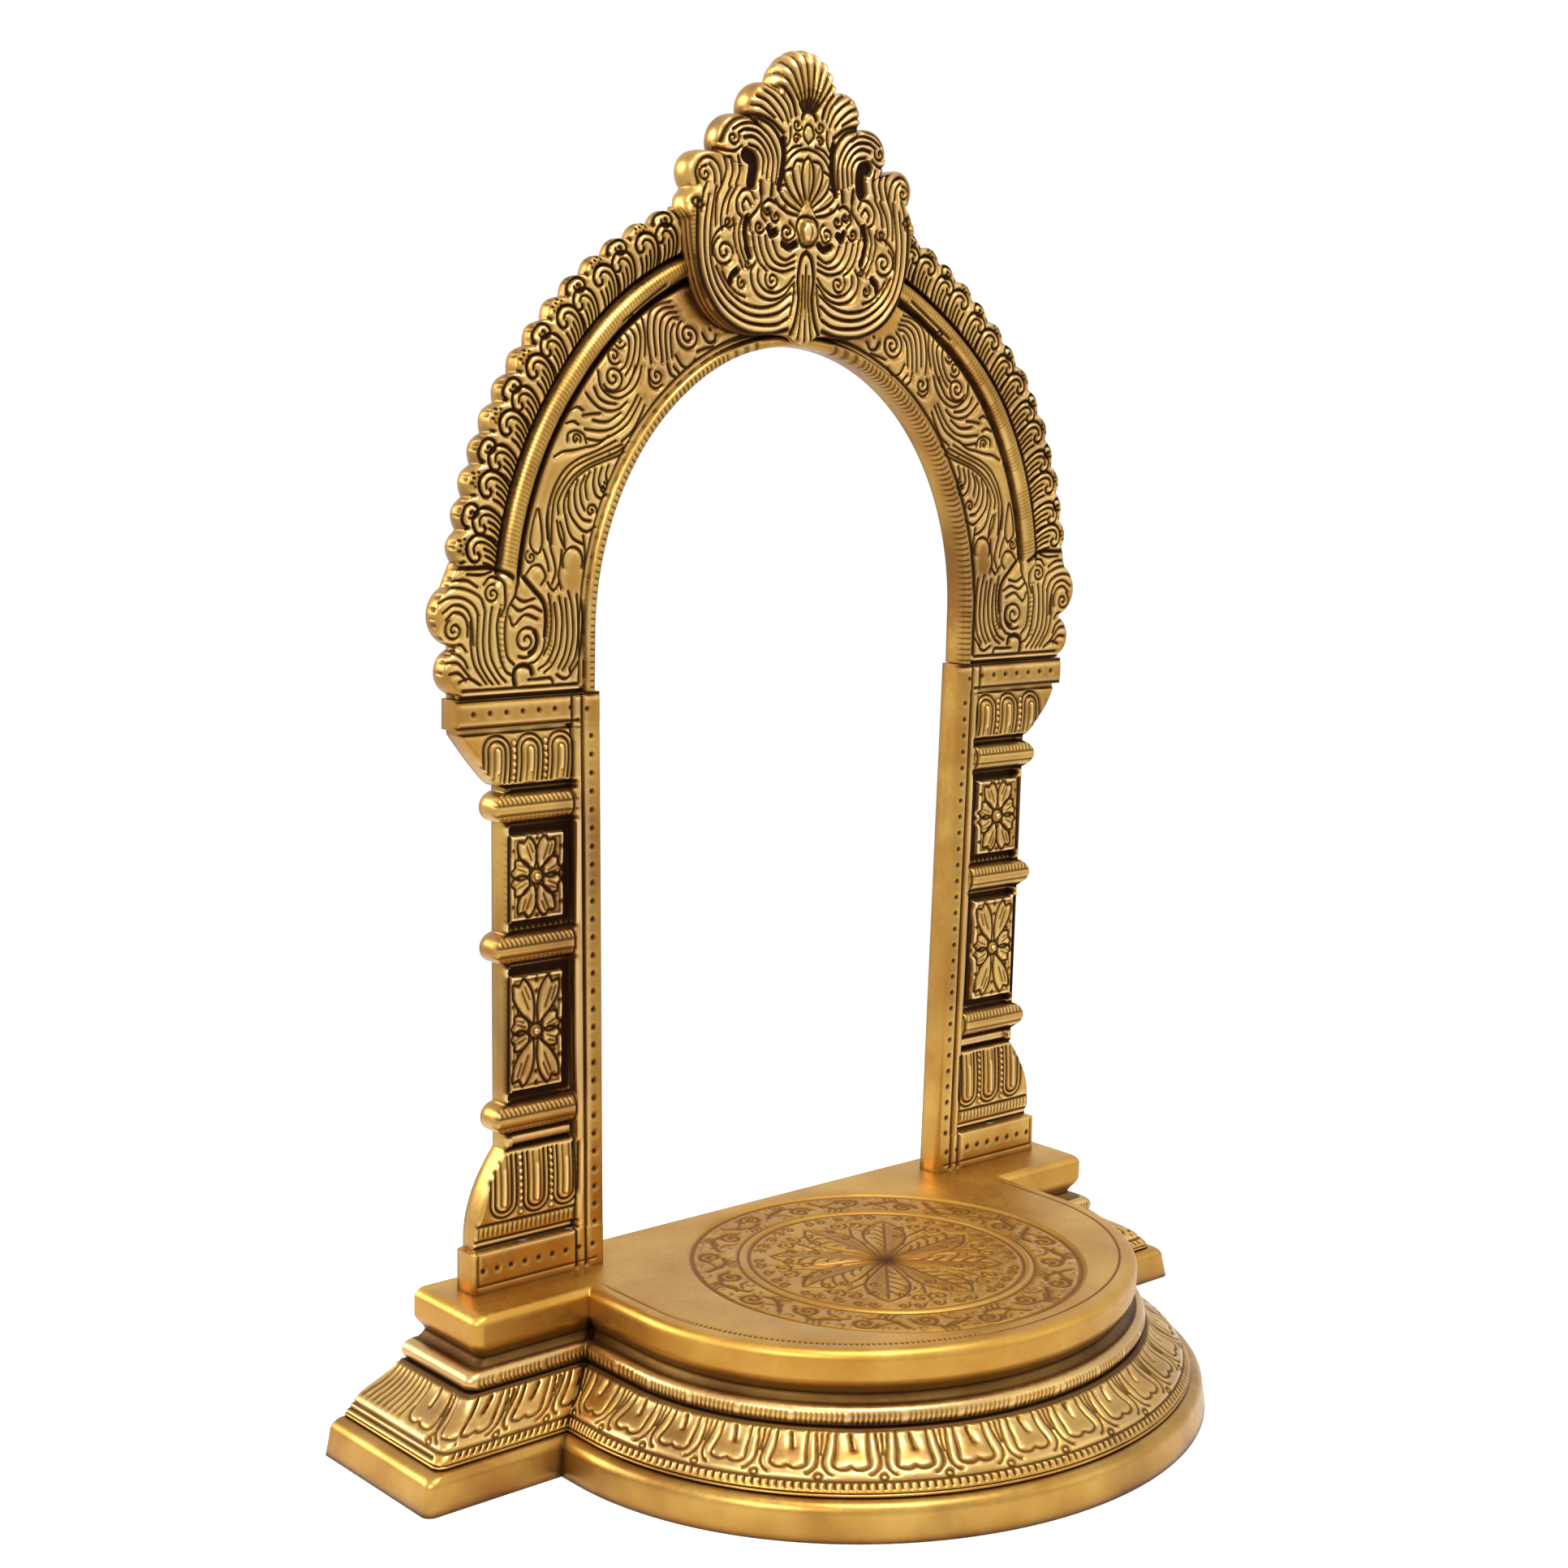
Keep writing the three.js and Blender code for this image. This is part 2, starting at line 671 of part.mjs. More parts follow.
// The shoulder where the arch springs: a raised leaf with a volute and ribbons.
function shoulder() {
  const left = archInnerHalf + soffitRimWidth + rimGroove;
  const low = springingZ + 2;
  const high = springingZ + shoulderTop;
  const right = headOuterHalf;
  const [lower, upper] = shoulderLobes;
  const outline = [
    [left, low],
    [right - 1, low],
    ...arcPoints(right + lower[0], springingZ + lower[1], lower[2] - 1, -0.6, 0.9, 4),
    ...arcPoints(right + upper[0], springingZ + upper[1], upper[2] - 1, -0.7, 1.4, 5),
    [right - 7, high - 1],
    [right - 17, high],
    [left, high],
  ];
  const face = groundDepth - 1.1;
  const voluteX = mix(left, right, 0.46);
  const ribbons = [
    rib(spiralPoints(voluteX, springingZ + 14.5, 5.5, Math.PI * 1.5, Math.PI * 2.5, 8), 1, face, 14),
    rib([[left + 8, low + 1], [left + 6, low + 12], [left + 10, high - 8], [left + 19, high - 1]], 1, face, 7),
    rib([[right - 15, low + 2], [right - 9, low + 9], [right - 10, low + 17], [right - 4, low + 24]], 1.1, face, 7),
    rib([[right - 10, low + 2], [right - 4, low + 9], [right - 5, low + 16], [right + 1, low + 21]], 1.1, face, 7),
  ];
  return [raised(outline, face), ...ribbons];
}

// The half-round roll that springs from the shoulder and runs under the crest.
function rollMoulding() {
  const from = Math.asin((shoulderTop - 1 - archOuterCentreRise) / rollCircleRadius);
  const to = Math.acos((crestRibbonHalf + 2.6) / rollCircleRadius);
  const path = steps(10).map((share) => onOuterCircle(mix(from, to, share), rollCircleRadius));
  return rib(path, rollRadius, groundDepth + 0.2, 16, 8);
}

function archBand() {
  const half = outerHalf();
  const apex = onOuterCircle(Math.PI / 2, archOuterRadius - 0.45 * featherBulge);
  const outer = [...half, apex, ...half.map(([x, z]) => [-x, z]).reverse()];
  const body = slab([...outer, ...innerOutline(0).reverse()], groundDepth, plateThickness);
  const rim = raised([...innerOutline(soffitRimWidth), ...innerOutline(0).reverse()], 0);
  const crestCovers = (number) => {
    const middle = firstFeather + featherPitch * (number + 0.5);
    return archOuterRadius * Math.cos(middle) < crestRibbonHalf + 4;
  };
  const feathers = Array.from({ length: featherCount }, (_, i) => i).filter((i) => !crestCovers(i)).map(feather);
  const sideForms = [...feathers, ...shoulder(), rollMoulding()].flatMap(bothSides);
  let band = joined([body, rim, scrollField(), ...sideForms]);
  [-1, 1].forEach((side) => {
    dowelPlaces.forEach((x) => {
      const hole = bar('z', dowelClear, dowelLength, side * x, plateMiddleY, springingZ - dowelLength / 2);
      band = band.subtract(hole);
    });
  });
  rivetPlaces.forEach(([x, z]) => {
    band = band.subtract(bar('y', rivetClear, plateThickness + 4, x, -2, z));
  });
  return band;
}

// Lobes down the crest's edge as X, height above the crown of the opening, radius.
const crestLobes = [
  [14.6, 65.4, 6.2],
  [24.3, 54.9, 7.4],
  [36.2, 45.6, 6],
  [38.2, 36.5, 4.8],
];
const fanCentre = crestHeight - fanRadius;

const onCrest = (points) => points.map(([x, height]) => [x, crownZ + height]);

// Right side of the heart-shaped shield below the lobes, from the pendant up.
const shieldEdge = [
  [9, 3],
  [20, 2.6],
  [29, 5.2],
  [35.5, 11],
  [39.3, 20],
  [crestRibbonHalf + 0.4, 31],
  [crestRibbonHalf, 41],
];

function crestOutline() {
  const lobes = [[29, 50], [19, 60], [10, 68]];
  const half = [[pendantHalf - 1, 2.6], ...shieldEdge, ...lobes];
  return onCrest([...half, [0, fanCentre], ...half.map(([x, height]) => [-x, height]).reverse()]);
}

// The whole crest outline as a prism, with its lobes, fan and pendant.
function crestPrism(frontY, backY) {
  const lobeSides = 14;
  const prism = slab(crestOutline(), frontY, backY);
  const lobe = (x, height, radius) => slab(
    arcPoints(x, crownZ + height, radius, 0, Math.PI * 2 * (1 - 1 / lobeSides), lobeSides - 1),
    frontY,
    backY,
  );
  const lobes = crestLobes.flatMap(([x, height, radius]) => bothSides(lobe(x, height, radius)));
  const pendant = onCrest([[-pendantHalf, 2.4], [0, 0.3], [pendantHalf, 2.4], [2.6, 12], [-2.6, 12]]);
  return joined([prism, ...lobes, lobe(0, fanCentre, fanRadius), slab(pendant, frontY, backY)]);
}

// The relief on the crest: fan petals, side volutes, ribbons of the shield, boss.
function crestRelief(frontY) {
  const fan = Array.from({ length: fanPetals }, (_, i) => {
    const lean = mix(-fanSpread, fanSpread, i / (fanPetals - 1));
    const along = (reach, side) => [
      reach * Math.sin(lean) + side * Math.cos(lean),
      fanCentre - fanDrop + reach * Math.cos(lean) - side * Math.sin(lean),
    ];
    const tip = fanDrop * Math.cos(lean) + Math.sqrt(fanRadius ** 2 - (fanDrop * Math.sin(lean)) ** 2) - 0.2;
    const outline = [along(7, -0.4), along(tip - 2.4, -1.3), along(tip, 0), along(tip - 2.4, 1.3), along(7, 0.4)];
    return slab(onCrest(outline), frontY - 0.7, frontY + rooted);
  });
  const ribbonPaths = [
    [[33, 44], [36.4, 38], [38.8, 30], [37.4, 20], [33.4, 12], [27.6, 7], [19, 4.8], [9, 5.2]],
    [[33.5, 36], [34, 27], [30, 17], [20, 11.5], [6.4, 12.4]],
    [[27.5, 30], [27, 22], [20, 16.6], [5, 18.6]],
    [[18.4, 66], [13, 63], [11, 54], [11.6, 43], [12.5, 36]],
    [[28.6, 54], [22.5, 58], [17, 54], [15.4, 46], [17.4, 38]],
  ].map((path) => rib(onCrest(path), 1.3, frontY, 8));
  const volutes = [[36.6, 44.6, 3.4, 0], [14, 18.6, 3.2, 2.6], [9.6, 31.4, 3.4, 3.4]].map(
    ([x, height, radius, start]) => rib(
      spiralPoints(x, crownZ + height, radius, start, Math.PI * 1.9, 7),
      1,
      frontY,
      9,
    ),
  );
  const leaf = [-0.9, -0.45, 0, 0.45, 0.9].map((lean) => {
    const tipX = 8.5 * Math.sin(lean);
    const tipZ = 38 + 14 * Math.cos(lean);
    return rib(onCrest([[0, 37], [tipX * 0.5, (37 + tipZ) / 2], [tipX, tipZ]]), 1.2, frontY, 3);
  });
  const boss = bar('y', bossRadius, crestProud, 0, frontY - 1.6, crownZ + 31.5, 18);
  const crease = rib(onCrest([[0, 25], [0, 14], [0, 3]]), 1.5, frontY - 0.3, 4);
  return [...fan, ...[...ribbonPaths, ...volutes].flatMap(bothSides), ...leaf, boss, crease];
}

// Above the arch the crest is as thick as the arch plus its own relief, and
// below it laps over the front of the arch.
function crest() {
  const frontY = -crestProud;
  const overlay = crestPrism(frontY, -clearance);
  const full = crestPrism(frontY, plateThickness);
  const seat = slab(
    steps(48).map((share) => onOuterCircle(Math.PI * share, archOuterRadius + featherBulge + clearance)),
    frontY - 1,
    plateThickness + 1,
  );
  let body = joined([overlay, full.subtract(seat), ...crestRelief(frontY)]);
  rivetPlaces.forEach(([x, z]) => {
    body = body.subtract(bar('y', rivetClear, rivetGrip + 1 + clearance, x, -rivetGrip - clearance, z));
  });
  return body;
}

function footBolt(x, y) {
  const under = shellTop - topWall - washerThickness;
  const shankLength = seatThickness + topWall + washerThickness + boltGrip;
  const head = bar('z', boltHeadWidth / 2, boltHeadHeight, x, y, under - boltHeadHeight, 6);
  return head.add(bar('z', boltDiameter / 2, shankLength + 0.1, x, y, under - 0.1));
}

function washer(x, y) {
  const z = shellTop - topWall - washerThickness;
  const disc = bar('z', washerDiameter / 2, washerThickness, x, y, z, 16);
  return disc.subtract(bar('z', boltClear, washerThickness + 2, x, y, z - 1));
}

function seatScrew(x, y) {
  const under = shellTop - topWall;
  const head = bar('z', screwDiameter, screwHeadHeight, x, y, under - screwHeadHeight, 12);
  return head.add(bar('z', screwDiameter / 2, topWall + screwGrip, x, y, under - 0.1));
}

function dowel(x) {
  const length = dowelLength - 1;
  return bar('z', dowelDiameter / 2, length, x, plateMiddleY, springingZ - (clearance + length) / 2);
}

// A rivet is headed at the back of the arch and ends blind inside the crest.
function rivet(x, z) {
  const shank = bar('y', rivetDiameter / 2, plateThickness + rivetGrip + 0.1, x, -rivetGrip, z);
  return shank.add(bar('y', rivetHeadDiameter / 2, rivetHeadHeight, x, plateThickness, z, 12));
}

const throne = new THREE.Group();

function place(name, solid, material) {
  const mesh = new THREE.Mesh(geometryOf(solid), material);
  mesh.name = name;
  throne.add(mesh);
}

const rightPillar = pillar();

place('pedestal_shell', pedestalShell(), brass());
place('seat_plate', seatPlate(), seatBrass());
place('left_pillar', mirrored(rightPillar), brass());
place('right_pillar', rightPillar, brass());
place('arch_band', archBand(), brass());
place('crest', crest(), brass());
boltPlaces.forEach(([x, y], i) => {
  place(`foot_bolt_${i + 1}`, footBolt(x, y), steel());
  place(`foot_washer_${i + 1}`, washer(x, y), steel());
});
screwPlaces.forEach(([x, y], i) => place(`seat_screw_${i + 1}`, seatScrew(x, y), steel()));
[-1, 1].flatMap((side) => dowelPlaces.map((x) => side * x)).forEach((x, i) => {
  place(`arch_dowel_${i + 1}`, dowel(x), steel());
});
rivetPlaces.forEach(([x, z], i) => place(`crest_rivet_${i + 1}`, rivet(x, z), brass()));

// Centre the footprint on the origin, front to back.
const floorPlan = planOf(plinthReach);
throne.position.y = -(roundCentreY - floorPlan.ry + floorPlan.back) / 2;

export default throne;
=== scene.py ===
import json
import math

import bmesh
import bpy
import numpy as np
from mathutils import Matrix, Vector


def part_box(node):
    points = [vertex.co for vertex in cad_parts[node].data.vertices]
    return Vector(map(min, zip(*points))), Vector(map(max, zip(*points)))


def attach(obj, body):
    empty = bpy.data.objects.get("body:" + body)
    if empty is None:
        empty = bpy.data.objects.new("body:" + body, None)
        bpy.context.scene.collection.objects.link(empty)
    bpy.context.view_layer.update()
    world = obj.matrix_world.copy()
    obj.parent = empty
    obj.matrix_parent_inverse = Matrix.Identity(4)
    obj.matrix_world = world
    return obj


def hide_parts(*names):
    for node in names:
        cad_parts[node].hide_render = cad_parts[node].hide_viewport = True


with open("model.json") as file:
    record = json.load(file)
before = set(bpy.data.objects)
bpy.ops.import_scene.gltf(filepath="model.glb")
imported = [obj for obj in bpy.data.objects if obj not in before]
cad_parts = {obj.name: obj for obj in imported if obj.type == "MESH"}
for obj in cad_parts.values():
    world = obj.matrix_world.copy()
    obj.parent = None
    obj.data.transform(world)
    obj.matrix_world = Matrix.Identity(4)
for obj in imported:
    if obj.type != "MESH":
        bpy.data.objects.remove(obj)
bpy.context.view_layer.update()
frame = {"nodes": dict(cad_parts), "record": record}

# Drawing sizes are in millimetres, with the front face of the pillars at y = 0.
MM = 0.001
PLATE_BACK = 8.6
FRONT_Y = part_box("right_pillar")[1].y - PLATE_BACK * MM
SHIFT = np.array((0, FRONT_Y, 0))

# The camera of the photograph, in metres and degrees
PHOTO_WIDTH = 1932
FOCAL_PIXELS = 2970
SENSOR_WIDTH = 36
CAMERA_AZIMUTH = math.radians(-41.2)
CAMERA_ELEVATION = math.radians(8.66)
CAMERA_ROLL = math.radians(1.22)
CAMERA_DISTANCE = 0.7024
CAMERA_TARGET = (-0.0024, FRONT_Y, 0.1736)

# Levels up the throne
SEAT_TOP = 42.2
SPRINGING = 205.0

# Pedestal and seat, in plan
WING_HALF = 119
SEAT_BACK = 16
SEAT_FRONT = -14.4
ROUND_HALF = 82
ROUND_DEPTH = 73
ROUND_CENTRE = -38.4
WING_END_FLARE = 1.24
WING_FRONT_FLARE = 0.8
BACK_FLARE = 0.15
CORNER_ROUND = 3
BACK_ROUND = 0.6
WALL = 5
CREASE_TOP = 34

# Lotus petals and torus, with where the wings' ends, the plain back and the torus lie on the relief sheet
PETAL_PITCH = 15.6
PETAL_REACH = 8.5
ROUND_PETALS = 17
WING_END_SHEET = 20
PLAIN_SHEET = 62
TORUS_SHEET = 18
TORUS_LEVEL = 25.3
TORUS_REACH = 0.25
TORUS_RADIUS = 2.75

# Medallion on the seat
MEDALLION_CENTRE = -46
MEDALLION_RADIUS = 55.5
MEDALLION_DISC = 57.4
MEDALLION_SHEET = 59
MEDALLION_LEAF = ((2, 0), (9, 2.9), (18, 6), (25, 5.6), (30, 3), (33, 0))

# The milled stretch of the seat's rim, to the left of the middle
MILLED_FROM = -78
MILLED_TO = -18
MILLED_PITCH = 1.5

# Pillars, with heights above the seat
PILLAR_HEIGHT = 162.8
PILLAR_TOP = 162.5
FOOT_INNER = 66
HEAD_INNER = 69.2
FOOT_OUTER = 110
HEAD_OUTER = 115
STILE_FOOT = 98.3
STILE_HEAD = 99.5
FOOT_STRIP = 11.4
HEAD_STRIP = 8.4
BELL = (14, 38.4)
BELL_FLARE = 9.6
CAPITAL = (138.6, 153)
CAPITAL_STEP = 1.6
CAPITAL_FLARE = 12.6
RINGS = (47, 94.1, 132.6)
RING_RADIUS = 4
RING_SWELL = 4
JAMB_STRIP = 8.5
PLAQUES = ((55, 86), (102, 124.6))
PLAQUE_SIDES = (80.8, 97.3)

# Arch. From CREST_SIDE up, the crest covers its outer edge.
ARCH_INNER = 70.5
ARCH_INNER_CENTRE = 220.8
ARCH_INNER_RISE = 78.3
ARCH_CENTRE = 227.5
ARCH_OUTER = 114.8
SOFFIT_RIM = 3.6
SCALLOPS = 19
SCALLOP_BULGE = 2.1
FIRST_SCALLOP = 0.1094
FIRST_SCALLOP_EDGE = 114.1
FIRST_SCALLOP_INNER = 235.1
BORDER_CIRCLE = 102.5
BORDER_MIDDLE = 108
BORDER_WIDTH = 13
ROLL_CIRCLE = 99.4
ROLL_RADIUS = 2.9
SHOULDER_LOBES = ((112.4, 211.8, 6.2), (112.6, 226.6, 8.2))
SHOULDER_EDGE = 114.6
SHOULDER_TOP = 236
LOBE_TOP = 233.7
LOBE_TOP_EDGE = 116.7
CREST_SIDE = math.radians(69)
CROWN_FALL = 3.2
CROWN_FALL_FROM = 283
CROWN_FALL_TO = 322

# Crest
CROWN = 299.1
CREST_FRONT = -2.8
CREST_SEAT = 3.6
CREST_POLE = 339.1
CREST_LOBES = ((14.6, 364.5, 6.2), (24.3, 354.0, 7.4), (36.2, 344.7, 6.0), (38.2, 335.6, 4.8))
FAN_CENTRE = 370.0
FAN_RADIUS = 10.8
FAN_FOOT = 361.0
FAN_PITCH = 0.1875
FAN_CUT = 0.094

# Two opposite corners of each relief sheet
ARCH_SHEET = ((0, 203), (123, 344))
PILLAR_SHEET = ((64, 41), (121, 206))
CREST_SHEET = ((-1, 298), (45, 384))
PEDESTAL_SHEET = ((-9, -4), (PLAIN_SHEET, 26))

# Rows and columns of the relief grids
SHOULDER_ROWS = 130
SCALLOP_ROWS = 420
CROWN_ROWS = 24
ARCH_COLUMNS = 146
PILLAR_ROWS = 545
PILLAR_COLUMNS = 138
CREST_ROWS = 341
CREST_RINGS = 118
DISC_COLUMNS = 561

# Cell of a relief sheet, spacing of the points on a line, how far round a place its ridges and hollows
# are judged, and the share of a spiral's radius that its eye takes
CELL = 0.15
SPACING = 0.22
AROUND = 1.3
SPIRAL_EYE = 0.12

# The angle between two faces, in radians, above which the edge between them is shaded sharp
SHARP = 1.4

# Studio, in metres: each lamp's place, size and power, how the floor fades, and the backdrop's light
LAMPS = {
    "key_lamp": ((-1.5, -0.7, 1.3), 0.6, 19),
    "top_lamp": ((-0.1, -0.5, 1.7), 0.5, 20),
    "fill_lamp": ((1.2, -1.4, 0.9), 1.2, 4),
    "side_lamp": ((-1.1, 1.1, 0.8), 0.7, 18),
}
LAMP_TARGET = (0, 0, 0.17)
FLOOR_SIZE = 12
FADE_FROM = 0.2
FADE_TO = 0.5
BACKDROP_LIGHT = 0.75


def smoothstep(low, high, value):
    share = np.clip((value - low) / (high - low), 0, 1)
    return share * share * (3 - 2 * share)


def smooth_line(points):
    """A smooth curve through the points, as closely spaced points."""
    given = np.array(points, float)
    ends = np.vstack([2 * given[0] - given[1], given, 2 * given[-1] - given[-2]])
    parts = []
    for a, b, c, d in zip(ends[:-3], ends[1:-2], ends[2:-1], ends[3:]):
        count = max(2, int(np.hypot(*(c - b)) / SPACING))
        t = np.linspace(0, 1, count, endpoint=False)[:, None]
        parts.append(0.5 * (
            2 * b + (c - a) * t + (2 * a - 5 * b + 4 * c - d) * t**2 + (3 * b - a - 3 * c + d) * t**3
        ))
    return np.vstack([*parts, given[-1]])


def straight(start, end):
    """Closely spaced points from the start to the end."""
    count = max(2, int(np.hypot(end[0] - start[0], end[1] - start[1]) / SPACING))
    return np.linspace(start, end, count + 1)


def spiral(cx, cz, radius, start, turns):
    """A volute from its eye out to the radius. Start is the angle at its outer end, in degrees."""
    count = max(12, int(abs(turns) * 2 * math.pi * radius / SPACING))
    share = np.linspace(0, 1, count)
    angle = math.radians(start) + 2 * math.pi * turns * (share - 1)
    reach = radius * (SPIRAL_EYE + (1 - SPIRAL_EYE) * share)
    return np.stack([cx + reach * np.cos(angle), cz + reach * np.sin(angle)], 1)


def arc(cx, cz, radius, start, end, squeeze=1.0):
    """Points on an arc from start to end, in degrees. A squeeze above 1 makes it taller."""
    angle = np.radians(np.linspace(start, end, max(6, int(abs(end - start) * radius / 12))))
    return np.stack([cx + radius * np.cos(angle), cz + squeeze * radius * np.sin(angle)], 1)


# Each kind of mark gives its height and its darkness at a distance from its line.

def groove(depth, width, shoulder=0.0, dark=1.0):
    def profile(d):
        sink = depth * np.exp(-(d / width) ** 2) + shoulder * np.exp(-(d / (2.8 * width)) ** 2)
        return -sink, dark * np.exp(-(d / (1.1 * width)) ** 4)
    return profile


def bead(radius, height):
    def profile(d):
        ring = np.exp(-((d - radius - 0.08) / 0.28) ** 2)
        return height * np.sqrt(np.clip(1 - (d / radius) ** 2, 0, 1)) - 0.3 * ring, 0.85 * ring
    return profile


def channel(depth, width):
    def profile(d):
        inside = 1 - smoothstep(width * 0.75, width * 1.25, d)
        return -depth * inside, 1 - smoothstep(width * 0.8, width * 1.15, d)
    return profile


def ridge(height, width):
    def profile(d):
        return height * np.exp(-(d / width) ** 2), np.zeros_like(d)
    return profile


# What each kind of mark does to the surface, and how far from its line it reaches
KINDS = {
    "line": (groove(0.55, 0.4, 0.4), 2.8),
    "cut": (groove(0.75, 0.42, 0.65), 3.0),
    "engraved": (groove(0.45, 0.37, 0.14), 1.9),
    "fine": (groove(0.3, 0.3, 0.08, 0.8), 1.6),
    "hair": (groove(0.16, 0.28, 0.0, 0.5), 1.0),
    "stipple": (groove(0.4, 0.45, 0.0, 0.7), 1.2),
    "deep": (groove(1.0, 0.75, 0.3), 3.6),
    "trench": (groove(1.3, 1.05, 0.3), 4.0),
    "channel": (channel(1.5, 1.2), 2.0),
    "wide_channel": (channel(1.8, 2.2), 3.2),
    "pit": (groove(0.6, 0.75), 1.6),
    "small_pit": (groove(0.4, 0.5), 1.2),
    "bead": (bead(1.0, 0.8), 2.2),
    "small_bead": (bead(0.7, 0.5), 1.6),
    "large_boss": (bead(2.9, 1.8), 4.2),
    "ridge": (ridge(0.6, 0.7), 2.0),
    "swell": (ridge(0.7, 2.0), 5.0),
}


def blurred(values, reach):
    """A running mean over a square that reaches this many cells each way."""
    for _ in range(2):
        sums = np.cumsum(np.pad(values, ((reach + 1, reach), (0, 0)), "edge"), 0)
        values = ((sums[2 * reach + 1:] - sums[:-2 * reach - 1]) / (2 * reach + 1)).T
    return values


class Carving:
    """Relief drawn in millimetres on a flat sheet, as lines, dots and ridges."""

    def __init__(self, low, high):
        self.low = np.array(low, float)
        self.cells = tuple(np.ceil((np.array(high) - self.low) / CELL).astype(int) + 1)
        self.near = {}
        self.maps = None

    def draw(self, kind, *lines):
        """Keeps, for each cell, the square of its distance to the nearest point of this kind, in cells."""
        if kind not in self.near:
            self.near[kind] = np.full(self.cells, 1e6, np.float32)
        sheet = self.near[kind]
        window = int(KINDS[kind][1] / CELL) + 1
        for line in lines:
            for across, up in (np.atleast_2d(line) - self.low) / CELL:
                i, k = max(int(across) - window, 0), max(int(up) - window, 0)
                part = sheet[i:max(int(across) + window + 2, 0), k:max(int(up) + window + 2, 0)]
                if part.size:
                    rows = (np.arange(i, i + part.shape[0]) - across) ** 2
                    columns = (np.arange(k, k + part.shape[1]) - up) ** 2
                    np.minimum(part, rows[:, None] + columns[None, :], out=part)

    def curves(self, kind, *lists):
        """Draws a smooth line through each list of points."""
        self.draw(kind, *[smooth_line(points) for points in lists])

    def strokes(self, kind, *ends):
        """Draws a straight line between each pair of ends."""
        self.draw(kind, *[straight(start, end) for start, end in ends])

    def volutes(self, kind, *spirals):
        """Draws a spiral for each row of numbers."""
        self.draw(kind, *[spiral(*numbers) for numbers in spirals])

    def finish(self):
        """Turns the distances into heights and a darkness. Places below their surroundings get darker, as
        tarnish and painted shade, and places above them paler, as wear and painted highlight.
        """
        sunk = np.zeros(self.cells)
        risen = np.zeros(self.cells)
        dark = np.zeros(self.cells)
        for kind, sheet in self.near.items():
            height, shade = KINDS[kind][0](np.sqrt(sheet) * CELL)
            sunk = np.minimum(sunk, height)
            risen = np.maximum(risen, height)
            dark = np.maximum(dark, shade)
        form = sunk + risen
        # Painted shade in hollows and painted highlight on ridges, mixed with tarnish and wear
        beside = form - blurred(form, round(AROUND / CELL))
        hollow = np.clip(-beside - 0.05, 0, 0.8)
        self.maps = np.stack([form, np.maximum(dark, hollow) - np.clip(1.6 * beside, 0, 1)])

    def at(self, x, z):
        """Height and darkness at the given places."""
        if self.maps is None:
            self.finish()
        a = np.clip((x - self.low[0]) / CELL, 0, self.cells[0] - 1.001)
        b = np.clip((z - self.low[1]) / CELL, 0, self.cells[1] - 1.001)
        i, k = a.astype(int), b.astype(int)
        u, v = a - i, b - k
        m = self.maps
        return (
            m[:, i, k] * (1 - u) * (1 - v) + m[:, i + 1, k] * u * (1 - v)
            + m[:, i, k + 1] * (1 - u) * v + m[:, i + 1, k + 1] * u * v
        )


def sheet_mesh(name, places, patina_and_painted_light):
    """A grid whose points are moved to the rows of places, in millimetres."""
    rows, columns = places.shape[:2]
    work = bmesh.new()
    bmesh.ops.create_grid(work, x_segments=columns - 1, y_segments=rows - 1, size=0.5)
    mesh = bpy.data.meshes.new(name)
    work.to_mesh(mesh)
    work.free()
    flat = np.empty(len(mesh.vertices) * 3)
    mesh.vertices.foreach_get("co", flat)
    flat = flat.reshape(-1, 3) + 0.5
    column = np.rint(flat[:, 0] * (columns - 1)).astype(int)
    row = np.rint(flat[:, 1] * (rows - 1)).astype(int)
    mesh.vertices.foreach_set("co", (places[row, column] * MM + SHIFT).ravel())
    layer = mesh.attributes.new("patina_and_painted_light", "FLOAT", "POINT")
    layer.data.foreach_set("value", patina_and_painted_light[row, column].astype(np.float32))
    return mesh


def close_gaps(work):
    """Fills the ring between two open loops at the seat's level, then each other open loop by itself."""
    seat_level = SEAT_TOP * MM
    rim = [edge for edge in work.edges if edge.is_boundary]
    flat = [edge for edge in rim if all(abs(vert.co.z - seat_level) < 1e-6 for vert in edge.verts)]
    if flat:
        bmesh.ops.triangle_fill(work, edges=flat, use_beauty=True, normal=(0, 0, 1))
    rim = [edge for edge in work.edges if edge.is_boundary]
    if rim:
        filled = bmesh.ops.holes_fill(work, edges=rim, sides=0)
        bmesh.ops.triangulate(work, faces=filled["faces"])


def surface(name, sheets, material, node):
    """A closed piece from sheets of places, each with its darkness. Seams that meet are joined."""
    work = bmesh.new()
    for places, patina_and_painted_light in sheets:
        mesh = sheet_mesh(name, places, patina_and_painted_light)
        work.from_mesh(mesh)
    bmesh.ops.remove_doubles(work, verts=work.verts, dist=2e-6)
    close_gaps(work)
    bmesh.ops.recalc_face_normals(work, faces=work.faces)
    for face in work.faces:
        face.smooth = True
    for edge in work.edges:
        edge.smooth = edge.calc_face_angle(0) < SHARP
    work.to_mesh(mesh)
    work.free()
    mesh.materials.append(material)
    piece = bpy.data.objects.new(name, mesh)
    bpy.context.collection.objects.link(piece)
    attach(piece, "root")
    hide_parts(node)


def both_sides(name, places, patina_and_painted_light, material, right_node, left_node):
    surface(f"{name}_right", [(places, patina_and_painted_light)], material, right_node)
    surface(f"{name}_left", [(places * (-1, 1, 1), patina_and_painted_light)], material, left_node)


def edge_round(distance, radius):
    """How far a rounded edge falls back at a distance from it."""
    share = np.clip(1 - distance / radius, 0, 1)
    return radius * (1 - np.sqrt(1 - share * share * 0.98))


# Materials

